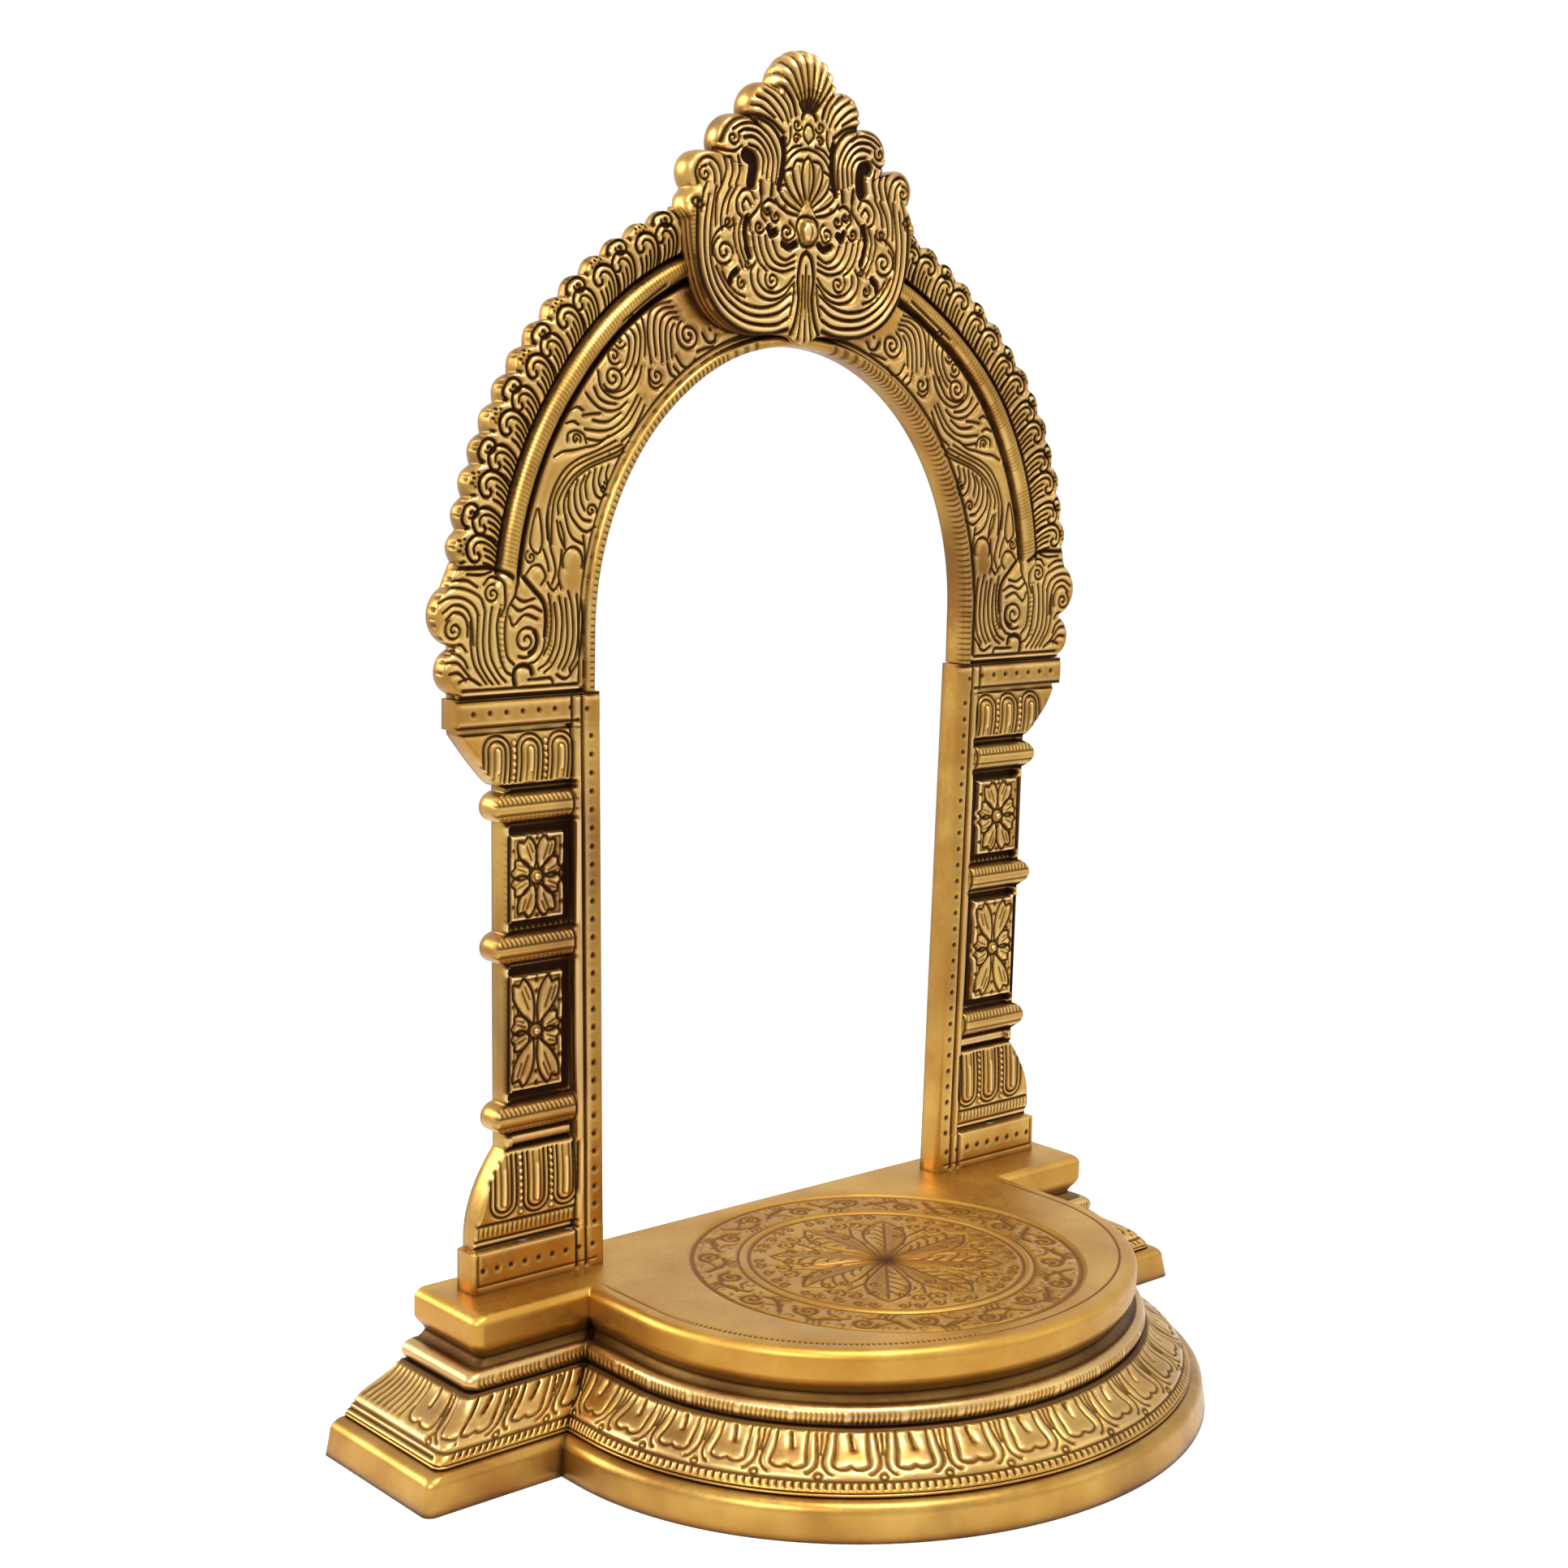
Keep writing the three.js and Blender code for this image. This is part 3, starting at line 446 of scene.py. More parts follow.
def add_node(tree, kind, inputs=None, **settings):
    """A new node with its settings, and with each input set to a value or linked to an output."""
    node = tree.nodes.new(kind)
    for name, value in settings.items():
        setattr(node, name, value)
    for name, value in (inputs or {}).items():
        if isinstance(value, bpy.types.NodeSocket):
            tree.links.new(value, node.inputs[name])
        else:
            node.inputs[name].default_value = value
    return node


def aged_metal_with_painted_light(name, bright, warm, stain_and_shade, wear_and_painted_light, deep, roughness, halo=0):
    """Two tones in soft clouds, stains, dark grooves, painted shade in corners and nooks, and pale ridges
    from wear that also serve as painted highlights.

    The halo is how far the stains spread beside what is engraved.
    """
    material = bpy.data.materials.new(name)
    material.use_nodes = True
    tree = material.node_tree
    place = add_node(tree, "ShaderNodeTexCoord").outputs["Object"]

    def noise(scale, detail):
        inputs = {"Vector": place, "Scale": scale, "Detail": detail}
        return add_node(tree, "ShaderNodeTexNoise", inputs).outputs["Fac"]

    def ramp(source, low, high, first, last):
        inputs = {"Value": source, "From Min": low, "From Max": high, "To Min": first, "To Max": last}
        return add_node(tree, "ShaderNodeMapRange", inputs).outputs["Result"]

    def blend(factor, first, last):
        inputs = {"Factor": factor, "A": first, "B": last}
        return add_node(tree, "ShaderNodeMix", inputs, data_type="RGBA").outputs["Result"]

    def combine(kind, first, second):
        inputs = {0: first, 1: second}
        return add_node(tree, "ShaderNodeMath", inputs, operation=kind, use_clamp=True).outputs["Value"]

    def shelter(distance):
        """How open a place is: 1 on open faces, less in corners within the distance."""
        return add_node(tree, "ShaderNodeAmbientOcclusion", {"Distance": distance}, samples=8).outputs["AO"]

    patina_and_painted_light = add_node(tree, "ShaderNodeAttribute", attribute_name="patina_and_painted_light").outputs["Fac"]
    grain = noise(700, 4)
    clouds = ramp(noise(45, 5), 0.35, 0.65, 0, 1)
    # Painted shade: nooks within 11 mm take the colour of the stains, on top of the random stains
    painted_nook_shade = ramp(shelter(0.011), 0.3, 0.85, 0.8, 0)
    stains_and_nook_shade = combine("ADD", ramp(noise(28, 6), 0.48, 0.68, 0, 0.6), painted_nook_shade)
    tint = blend(stains_and_nook_shade, blend(clouds, warm, bright), stain_and_shade)
    # Below zero the darkness turns pale: wear on ridges, and painted highlights
    tint = blend(ramp(patina_and_painted_light, -0.7, -0.05, 0.75, 0), tint, wear_and_painted_light)
    tint = blend(ramp(patina_and_painted_light, 0.04, 0.35, 0, halo), tint, stain_and_shade)
    # Painted shade: corners within 3 mm darken towards the deep colour, with dark specks there
    corner = ramp(shelter(0.003), 0.2, 0.7, 0.85, 0)
    speck = ramp(grain, 0.55, 0.75, 0, 0.35)
    dark = combine("ADD", combine("MAXIMUM", corner, patina_and_painted_light), combine("MULTIPLY", speck, corner))
    satin = ramp(grain, 0.3, 0.7, roughness - 0.05, roughness + 0.08)
    bump = add_node(tree, "ShaderNodeBump", {"Strength": 0.2, "Distance": 0.0003, "Height": noise(260, 5)})
    for socket, value in (
        ("Base Color", blend(dark, tint, deep)),
        ("Metallic", ramp(dark, 0, 1, 1, 0.85)),
        ("Specular IOR Level", ramp(dark, 0, 1, 0.5, 0.1)),
        ("Roughness", combine("ADD", satin, ramp(dark, 0, 1, 0, 0.3))),
        ("Normal", bump.outputs["Normal"]),
    ):
        tree.links.new(value, tree.nodes["Principled BSDF"].inputs[socket])
    return material


# Metal colours. The stain colours also paint shade in nooks, and the pale colours paint highlights as well
# as wear.
CAST_BRIGHT = (0.51, 0.305, 0.072, 1)
CAST_WARM = (0.38, 0.19, 0.038, 1)
CAST_STAIN_AND_SHADE = (0.16, 0.055, 0.014, 1)
SEAT_BRIGHT = (0.57, 0.335, 0.072, 1)
SEAT_WARM = (0.47, 0.25, 0.045, 1)
SEAT_STAIN_AND_SHADE = (0.40, 0.17, 0.025, 1)
BRASS_WORN_AND_HIGHLIGHT = (0.85, 0.62, 0.30, 1)
BRASS_DEEP = (0.022, 0.008, 0.003, 1)
STEEL_BRIGHT = (0.42, 0.42, 0.41, 1)
STEEL_DULL = (0.36, 0.36, 0.35, 1)
STEEL_STAIN_AND_SHADE = (0.25, 0.24, 0.23, 1)
STEEL_WORN_AND_HIGHLIGHT = (0.55, 0.55, 0.54, 1)
STEEL_DEEP = (0.08, 0.07, 0.06, 1)

cast = aged_metal_with_painted_light(
    "cast_brass", CAST_BRIGHT, CAST_WARM, CAST_STAIN_AND_SHADE, BRASS_WORN_AND_HIGHLIGHT, BRASS_DEEP, roughness=0.33,
)
seat = aged_metal_with_painted_light(
    "seat_brass", SEAT_BRIGHT, SEAT_WARM, SEAT_STAIN_AND_SHADE, BRASS_WORN_AND_HIGHLIGHT, BRASS_DEEP, roughness=0.4, halo=0.9,
)
steel = aged_metal_with_painted_light(
    "fastener_steel", STEEL_BRIGHT, STEEL_DULL, STEEL_STAIN_AND_SHADE, STEEL_WORN_AND_HIGHLIGHT, STEEL_DEEP, roughness=0.34,
)
FINISH = {"cast_brass": cast, "seat_brass": seat, "fastener_steel": steel}
for row in frame["record"]["subparts"]:
    piece = frame["nodes"][row["node"]]
    piece.data.materials.clear()
    piece.data.materials.append(FINISH[row["material_slot"]])


# Arch

def polar(degrees, width):
    """A place in the feather border: degrees up from the horizontal, width out from its inner edge."""
    angle = np.radians(degrees)
    reach = BORDER_CIRCLE + np.asarray(width)
    return np.stack([reach * np.cos(angle), ARCH_CENTRE + reach * np.sin(angle)], -1)


def beside_opening(degrees, grow):
    """A place beside the elliptical edge of the opening: degrees up from the springing, moved outwards."""
    angle = np.radians(degrees)
    return np.stack([
        (ARCH_INNER + grow) * np.cos(angle),
        ARCH_INNER_CENTRE + (ARCH_INNER_RISE + grow) * np.sin(angle),
    ], -1)


def feather_border(sheet):
    """Pairs of lobes under two crooked plumes each, with ribbons that run in to the roll.

    One lobe of a pair is dotted, the other curled. Places are millimetres along and out.
    """
    degrees_per_mm = 180 / (math.pi * BORDER_MIDDLE)
    pitch = math.degrees((math.pi / 2 - FIRST_SCALLOP) / SCALLOPS)
    lobe = pitch / degrees_per_mm
    crook = [
        (0.7, 0.5), (2.1, 3.2), (2.9, 6.4), (2.4, 8.8), (0.5, 10.4),
        (-2.0, 10.4), (-3.9, 8.9), (-3.9, 7.0), (-2.5, 6.3), (-1.8, 7.2),
    ]
    inner = [(-0.9, 0.5), (0.5, 3.2), (1.2, 6.0), (0.7, 8.0), (-0.7, 8.8), (-2.0, 8.4)]
    ribbons = (
        [(-2.5, 0.5), (-1.1, 3.2), (-0.5, 5.8)],
        [(-4.1, 0.5), (-2.8, 3.0), (-2.2, 5.2)],
        [(-5.6, 0.5), (-4.5, 3.0), (-4.1, 5.6)],
    )
    dots = [(-1.6, 11.9), (-0.4, 11.6), (0.9, 11.7), (2, 12.1), (-1, 12.9), (0.3, 12.8), (1.5, 13.1)]
    curl = [
        (-3.3, 11.2), (-2.7, 12.6), (-0.8, 13.3), (1.6, 12.9),
        (2.6, 11.4), (2.1, 9.8), (0.6, 9.2), (-0.8, 10),
    ]
    for number in range(-1, 7):
        origin = math.degrees(FIRST_SCALLOP) + pitch * (2 * number + 2.5)

        def place(points, shift=0.0, lift=0.0):
            points = np.array(points, float) + (shift, lift)
            return polar(origin + points[:, 0] * degrees_per_mm, points[:, 1])

        for head, lift in ((0.9, 0.3), (0.9 + 0.86 * lobe, -0.2)):
            sheet.draw("cut", place(smooth_line(crook), head, lift))
            sheet.draw("line", place(smooth_line(inner), head, lift))
            for ribbon in ribbons:
                sheet.draw("line", place(smooth_line(ribbon), head))
        sheet.draw("small_pit", place(dots))
        sheet.draw("cut", place(smooth_line(curl), lobe))
        sheet.draw("line", place(spiral(0.2, 11.3, 1.2, 160, -0.9), lobe))
        for side in (-0.5, 0.5, 1.5):
            sheet.draw("cut", place(straight((side * lobe, 13.2), (side * lobe + 0.6, 11.2))))


def roll_marks(sheet):
    """A trench and a groove beside the roll, and fine hatching over it."""
    along = np.linspace(5.6, 90, 900)
    sheet.draw("trench", polar(along, -6.9))
    sheet.draw("deep", polar(along, 0.4))
    for degrees in np.arange(6, 70, 0.66):
        sheet.strokes("hair", (polar(degrees, -3.6), polar(degrees + 0.3, -0.9)))
        if degrees % 9 > 4:
            sheet.strokes("hair", (polar(degrees - 0.3, -5.4), polar(degrees, -4.2)))


def soffit_marks(sheet):
    """Two lines beside the opening, and a milled edge on its rim."""
    along = np.linspace(0, 90, 400)
    sheet.draw("line", straight((75.6, 207.5), (75.6, ARCH_INNER_CENTRE)), beside_opening(along, 5.1))
    sheet.draw("fine", straight((74.1, 205), (74.1, ARCH_INNER_CENTRE)), beside_opening(along, 3.6))
    for z in np.arange(206, ARCH_INNER_CENTRE, 1.7):
        sheet.strokes("fine", ((70.6, z), (72.6, z)))
    for degrees in np.arange(0, 80, 1.3):
        sheet.strokes("fine", (beside_opening(degrees, 0.1), beside_opening(degrees, 2.1)))


def scroll_band(sheet):
    """The foliage between the opening and the roll."""
    sheet.curves(
        "line",
        [(89.2, 254), (88.2, 249), (88.0, 244.8), (89.4, 242.2), (91.8, 244.5), (91.3, 249), (89.8, 254)],
        [(86.1, 254), (86.1, 250), (85.3, 244), (84.2, 240.6), (83.6, 237.2), (84.7, 234.2)],
        [(93.4, 236.6), (91, 239), (88.4, 239), (86.8, 236.2), (88.2, 234)],
        [(87.6, 243.4), (86.4, 240.4), (85.8, 237.6)],
        [(86.2, 246), (86.6, 250.6), (85.8, 255), (83.9, 260),
         (80.6, 264.4), (76.1, 267.2), (70, 269.4), (64, 272)],
        [(84.9, 244.6), (84.9, 250), (84.2, 256.1), (81.7, 260.8),
         (78.3, 264.4), (74, 266.6), (68.5, 268.6), (62, 271)],
        [(82.8, 252.6), (82.9, 255.6), (80.6, 259.8), (77.4, 263),
         (73.4, 265.4), (68.6, 267.2), (63, 269.2), (59.4, 271.8)],
        [(80.9, 253), (80.9, 256), (79, 259.8), (76, 262.8),
         (72, 265), (67.4, 266.6), (63.6, 267.8), (61, 269)],
        [(83.3, 250.8), (82.4, 247.2), (80.6, 243.4)],
        [(82.2, 250.4), (81, 247), (80.6, 243.4)],
        [(80.6, 252.4), (79.6, 248.6), (77.8, 246), (74.4, 244.4)],
        [(79.4, 258.6), (79.4, 253.6), (77, 250), (73.8, 247.8), (70.4, 249)],
        [(76.6, 261.4), (77.6, 258), (77, 254), (74.8, 251.2), (72.2, 250.6)],
        [(74.2, 262.6), (75.7, 259.6), (75.4, 256), (74.2, 253.6)],
        [(72.6, 263.6), (74, 260.4), (73.6, 257)],
        [(70.8, 264.4), (71.4, 260.6), (70.6, 257.8), (68.6, 256.6), (66.8, 257.6)],
        [(68.6, 264.8), (69.6, 261.6), (69, 259.8), (67.6, 259.2)],
        [(66.4, 265.4), (67.2, 262.8), (66.6, 261)],
        [(84.4, 267.6), (81.4, 269), (78, 269.4), (74, 270.2), (70, 271), (66.4, 273.2)],
        [(80.6, 276.4), (78.2, 277), (76.4, 276.2)],
        [(80, 271.8), (79.8, 273.6), (77.4, 274.6), (74.8, 273.6), (73.9, 271.4)],
        [(79.6, 279.4), (77, 280.8), (75, 280)],
        [(73.9, 272.5), (69.4, 272), (66.4, 273), (63.3, 274.4),
         (60, 276.7), (57.2, 280.6), (55.6, 283.4)],
        [(74.4, 275), (69, 274.6), (64.9, 275.4), (61.4, 277.8), (58.8, 281), (56.8, 284.2)],
        [(62, 271.8), (58.6, 274.4), (56.2, 278), (54.4, 281.6)],
        [(71.7, 277.4), (69, 277), (66.1, 277.3), (62.6, 279.4)],
        [(75, 278.6), (72.4, 279), (69.4, 279.2)],
        [(74.2, 284.6), (72.2, 282.6), (69.4, 280.6), (66.1, 279.9), (62.8, 280.6), (60.4, 282.4)],
        [(71.4, 286), (70, 283.6), (67.4, 282.2), (64, 281.8)],
        [(70, 290.4), (69.2, 286.4), (66.1, 283.9), (62.6, 283.4),
         (58.6, 285.6), (56.2, 288.9), (55.3, 292)],
        [(67.8, 285.4), (64.8, 284.8), (61, 286), (58.8, 288.6), (57.4, 292)],
        [(70.4, 292.6), (68.4, 294), (66.8, 296.8), (64.4, 297.4)],
        [(61.2, 301.6), (59.2, 299), (59.4, 295.2), (60.8, 292), (62.6, 290.6)],
        [(59.2, 302.6), (57, 300), (57.4, 295.8), (58.9, 292), (60.8, 289.4)],
        [(56.8, 304.4), (55.2, 300.6), (55.7, 295.4), (57, 291.6), (59.4, 287.8)],
        [(61.6, 303.6), (56.6, 307.2), (51.6, 310.6), (46.4, 314)],
        [(59, 303.8), (55, 306.8), (50.6, 309.8), (46, 312)],
        [(44, 309.8), (48, 308.8), (51.2, 306.6), (52.4, 303), (52.6, 298), (51.9, 293)],
        [(43, 308.4), (46.6, 307.8), (49.4, 305.6), (50.4, 301.6), (50.2, 295)],
        [(42, 307), (45, 306.6), (47.6, 304.4), (48.4, 300), (48.1, 293.4)],
        [(41.6, 305.6), (44, 305.2), (46, 302.8), (46.6, 299), (46.4, 294)],
        [(43.4, 303.6), (44.6, 301.4), (44.8, 298), (44.6, 294.8)],
        [(54.2, 305.4), (53.6, 300), (54, 295)],
        [(52.8, 291), (52.6, 287.4), (50.4, 286.2), (48.4, 287.2)],
        [(46.4, 293), (45.4, 290.4), (43.8, 289.4)],
        [(43.4, 295.4), (41.2, 292.6), (38.8, 292.2), (36.4, 294.4)],
        [(44.2, 292.2), (42.4, 290.6)],
        [(33.4, 301.6), (31.6, 299.4), (29.4, 299.6), (28.6, 301.4)],
        [(35.6, 296.6), (32.4, 297.6), (29.8, 298.2)],
        [(81.7, 232.8), (82.6, 236), (82, 239.6), (81.6, 243)],
        [(74.6, 246.6), (74, 242), (74.2, 235.6)],
    )
    sheet.draw("line", arc(78, 239.8, 3.3, -20, 200, 1.2), spiral(91.6, 241.4, 1.9, 60, 1.3))
    sheet.volutes("line", (72, 253.4, 1.9, 200, 1.3), (68, 259.4, 1.5, 100, -1.2))
    sheet.volutes("line", (77.2, 272.4, 1.6, 210, 1.2), (65, 288.7, 3.7, 330, 1.7))
    sheet.volutes("line", (64.4, 294.6, 2.5, 220, -1.4), (62.4, 298.4, 2.1, 200, -1.2))
    sheet.volutes("line", (50.2, 289.6, 2.6, 40, 1.3), (58, 305, 1.5, 200, -1.1))
    sheet.volutes("line", (38.5, 300.8, 4.3, 60, 1.9))
    sheet.draw("small_pit", (67.2, 262), (73.4, 256.4), (66.2, 268.6), (31, 303), (48.6, 311))


def shoulder_marks(sheet):
    """The leaf with a volute where the arch springs, between nested ribbons."""
    sheet.strokes("line", ((74.5, 205.2), (113.6, 205.2)), ((76, 207), (113, 207)))
    sheet.curves(
        "deep",
        [(119.5, 239.4), (112, 239), (105, 239), (100.4, 237.6), (98, 236.2)],
        [(93.9, 236.2), (90.6, 232.9), (87.4, 229.4), (86.5, 225), (86.8, 220.4)],
        [(90.9, 210.4), (91.6, 212.2), (93.9, 212.9), (96.2, 212), (96.8, 210), (96.4, 207.6)],
    )
    sheet.volutes("line", (93, 219.4, 4.7, -60, 1.8))
    sheet.draw("deep", arc(93, 219.4, 3.6, 140, 250))
    sheet.curves(
        "line",
        [(95.4, 236), (96.6, 231.4), (98.6, 228.4),
         (99.6, 224.4), (99.7, 220), (99, 215.6), (96.8, 213.2)],
        [(98.4, 226), (97, 223.6), (93.4, 226.2), (89.4, 225)],
        [(86.8, 220), (87.6, 216.4), (89.8, 213.8), (92, 213.2)],
        [(97.6, 229), (95, 227.4), (91.4, 228.4), (88, 227)],
        [(96.6, 231.2), (93.8, 229.8), (90.4, 230.4)],
        [(101.2, 228), (102.2, 224), (101.9, 219.4), (101.1, 215), (99.4, 211.6), (97.4, 210.4)],
        [(103.8, 228.6), (104.4, 225), (104.6, 219.4), (103.9, 215), (101.6, 211), (99.4, 208.8)],
        [(106, 227.8), (106.4, 223.3), (106.6, 218.9), (105.8, 214.4), (103.4, 210.6), (101.6, 208.4)],
        [(108.2, 227), (108.4, 222.2), (108.4, 218), (107.6, 214), (105.4, 210.4), (103.6, 208.4)],
        [(110.6, 225), (110.4, 221.7), (110.3, 217.8), (109.2, 213.6), (107, 210.4), (105.6, 208.6)],
        [(106.4, 234.6), (104.4, 236.5), (101.6, 235.8), (99.9, 233), (99.7, 229), (101, 226)],
        [(119.9, 230.2), (116.7, 231.5), (112.8, 231.2), (109.6, 229.4), (108, 226.6)],
        [(119, 227.6), (115.6, 229.5), (112.2, 228.7), (110.4, 226.1), (109.8, 222.8), (109.6, 219)],
        [(118, 225.8), (115.6, 227.6), (112.9, 226.9), (111.5, 224.6), (111.4, 221.4)],
        [(119.6, 232.6), (116, 234), (111.7, 233.4), (107.6, 231.4), (106.2, 228.4)],
        [(117.6, 235.6), (112, 235.8), (108.4, 234)],
        [(112, 237.4), (107.4, 237.2), (104, 238)],
        [(120, 219.8), (116.8, 218.8), (113.6, 219.2), (111.8, 217.4)],
        [(118.6, 217.4), (115, 216.8), (112.6, 215.2), (111.4, 213)],
        [(117.8, 214.6), (114.4, 214.4), (112, 212), (110.2, 210)],
        [(117, 211.6), (114.2, 211.8), (111.8, 209.8)],
        [(114, 209.4), (110.8, 210.2), (107.4, 208.4)],
        [(74.7, 229.4), (74.2, 225), (74.5, 219.4), (75.4, 214), (78.2, 210)],
        [(79.4, 232), (78.2, 227.8), (77.7, 222.2), (77.9, 218.3), (79.2, 213.9), (81, 211)],
        [(76.6, 231), (76.1, 226), (76, 220), (76.8, 214.6), (78.6, 211.6)],
        [(82.4, 230.6), (81.4, 226.1), (81.4, 221.7), (82.2, 216.7), (84.4, 212.6), (87, 210.6)],
        [(80.4, 230), (79.8, 225), (79.6, 220), (80.4, 215.4), (82.4, 211.6)],
        [(84, 229), (83.4, 225), (83.3, 221.7), (83.9, 217.2), (86.1, 213.3), (88.9, 211.6)],
        [(85.8, 231.4), (85, 227), (84.9, 222.4), (85.6, 218.4), (87.2, 215.4)],
        [(86.2, 234.6), (84.2, 232.4), (82.4, 234.4)],
        [(92.2, 209), (88.6, 209), (85, 209), (84.2, 207.2)],
        [(83, 209.8), (80.4, 208.6), (78.4, 209.6), (78.8, 211.4)],
    )
    sheet.volutes("line", (115.6, 223, 2.9, 60, 1.5), (103.7, 232, 2.6, 100, 1.5))
    for z in np.arange(212.5, 229.5, 1.5):
        sheet.strokes("fine", ((100.2, z), (101.6, z + 0.2)))
    for z in np.arange(213, 229, 1.5):
        sheet.strokes("fine", ((86, z + 1), (84.9, z)))


def arch_outline():
    """Inner and outer edge of the right half of the arch, row by row from the springing to the crown."""
    shoulder = np.linspace(SPRINGING, ARCH_CENTRE + ARCH_OUTER * math.sin(FIRST_SCALLOP), SHOULDER_ROWS)
    outer_x = np.full(shoulder.shape, SHOULDER_EDGE)
    for cx, cz, radius in SHOULDER_LOBES:
        inside = np.clip(radius**2 - (shoulder - cz) ** 2, 0, None)
        outer_x = np.where(inside > 0, np.maximum(outer_x, cx + np.sqrt(inside)), outer_x)
    top = shoulder > LOBE_TOP
    scallops_from = shoulder[-1]
    outer_x[top] = np.interp(shoulder[top], (LOBE_TOP, scallops_from), (LOBE_TOP_EDGE, FIRST_SCALLOP_EDGE))
    rise = (shoulder - SPRINGING) / (scallops_from - SPRINGING)
    inner_z = SPRINGING + rise * (FIRST_SCALLOP_INNER - SPRINGING)
    lift = np.clip((inner_z - ARCH_INNER_CENTRE) / ARCH_INNER_RISE, 0, 1)
    inner_x = ARCH_INNER * np.sqrt(1 - lift**2)
    angle = np.concatenate([
        np.linspace(FIRST_SCALLOP, CREST_SIDE, SCALLOP_ROWS)[1:],
        np.linspace(CREST_SIDE, math.pi / 2, CROWN_ROWS)[1:],
    ])
    share = (angle - FIRST_SCALLOP) / ((math.pi / 2 - FIRST_SCALLOP) / SCALLOPS)
    seen = smoothstep(CREST_SIDE + 0.03, CREST_SIDE, angle)
    outer = ARCH_OUTER + SCALLOP_BULGE * (np.sin(np.pi * (share % 1)) - 0.3) * seen
    cos, sin = np.cos(angle), np.sin(angle)
    lift = ARCH_CENTRE - ARCH_INNER_CENTRE
    a = (cos / ARCH_INNER) ** 2 + (sin / ARCH_INNER_RISE) ** 2
    b = 2 * lift * sin / ARCH_INNER_RISE**2
    c = (lift / ARCH_INNER_RISE) ** 2 - 1
    inner = (-b + np.sqrt(b * b - 4 * a * c)) / (2 * a)
    inner_edge = np.concatenate([
        np.stack([inner_x, inner_z], 1),
        np.stack([inner * cos, ARCH_CENTRE + inner * sin], 1),
    ])
    outer_edge = np.concatenate([
        np.stack([outer_x, shoulder], 1),
        np.stack([outer * cos, ARCH_CENTRE + outer * sin], 1),
    ])
    return inner_edge, outer_edge


def arch_level(x, z):
    """How far behind the front plane each form of the arch stands."""
    above = z > ARCH_INNER_CENTRE
    scale = np.hypot(x / ARCH_INNER, (z - ARCH_INNER_CENTRE) / ARCH_INNER_RISE)
    grow = np.where(above, np.hypot(x, z - ARCH_INNER_CENTRE) * (1 - 1 / scale), x - ARCH_INNER)
    reach = np.hypot(x, z - ARCH_CENTRE)
    level = 0.6 + 0.5 * smoothstep(SOFFIT_RIM + 1.8, SOFFIT_RIM + 0.8, grow)
    half_rim = SOFFIT_RIM / 2
    rim = np.clip(1 - ((grow - half_rim) / half_rim) ** 2, 0, 1)
    level = np.where(grow < SOFFIT_RIM, 1.1 - 1.5 * np.sqrt(rim), level)
    on_roll = smoothstep(SHOULDER_TOP - 4, SHOULDER_TOP, z)
    roll = np.clip(1 - ((reach - ROLL_CIRCLE) / ROLL_RADIUS) ** 2, 0, 1)
    near_roll = smoothstep(4.2, 3.2, np.abs(reach - ROLL_CIRCLE)) * on_roll
    level = level * (1 - near_roll) + (1.9 - 2.9 * np.sqrt(roll)) * near_roll
    width = reach - BORDER_CIRCLE
    border = smoothstep(0.4, 1.4, width) * smoothstep(SHOULDER_TOP, SHOULDER_TOP + 3, z)
    feather = 0.9 - 1.5 * np.sin(np.pi * np.clip(width / BORDER_WIDTH, 0, 1) * 0.8)
    fall = CROWN_FALL * smoothstep(CROWN_FALL_FROM, CROWN_FALL_TO, z)
    return level * (1 - border) + feather * border + fall


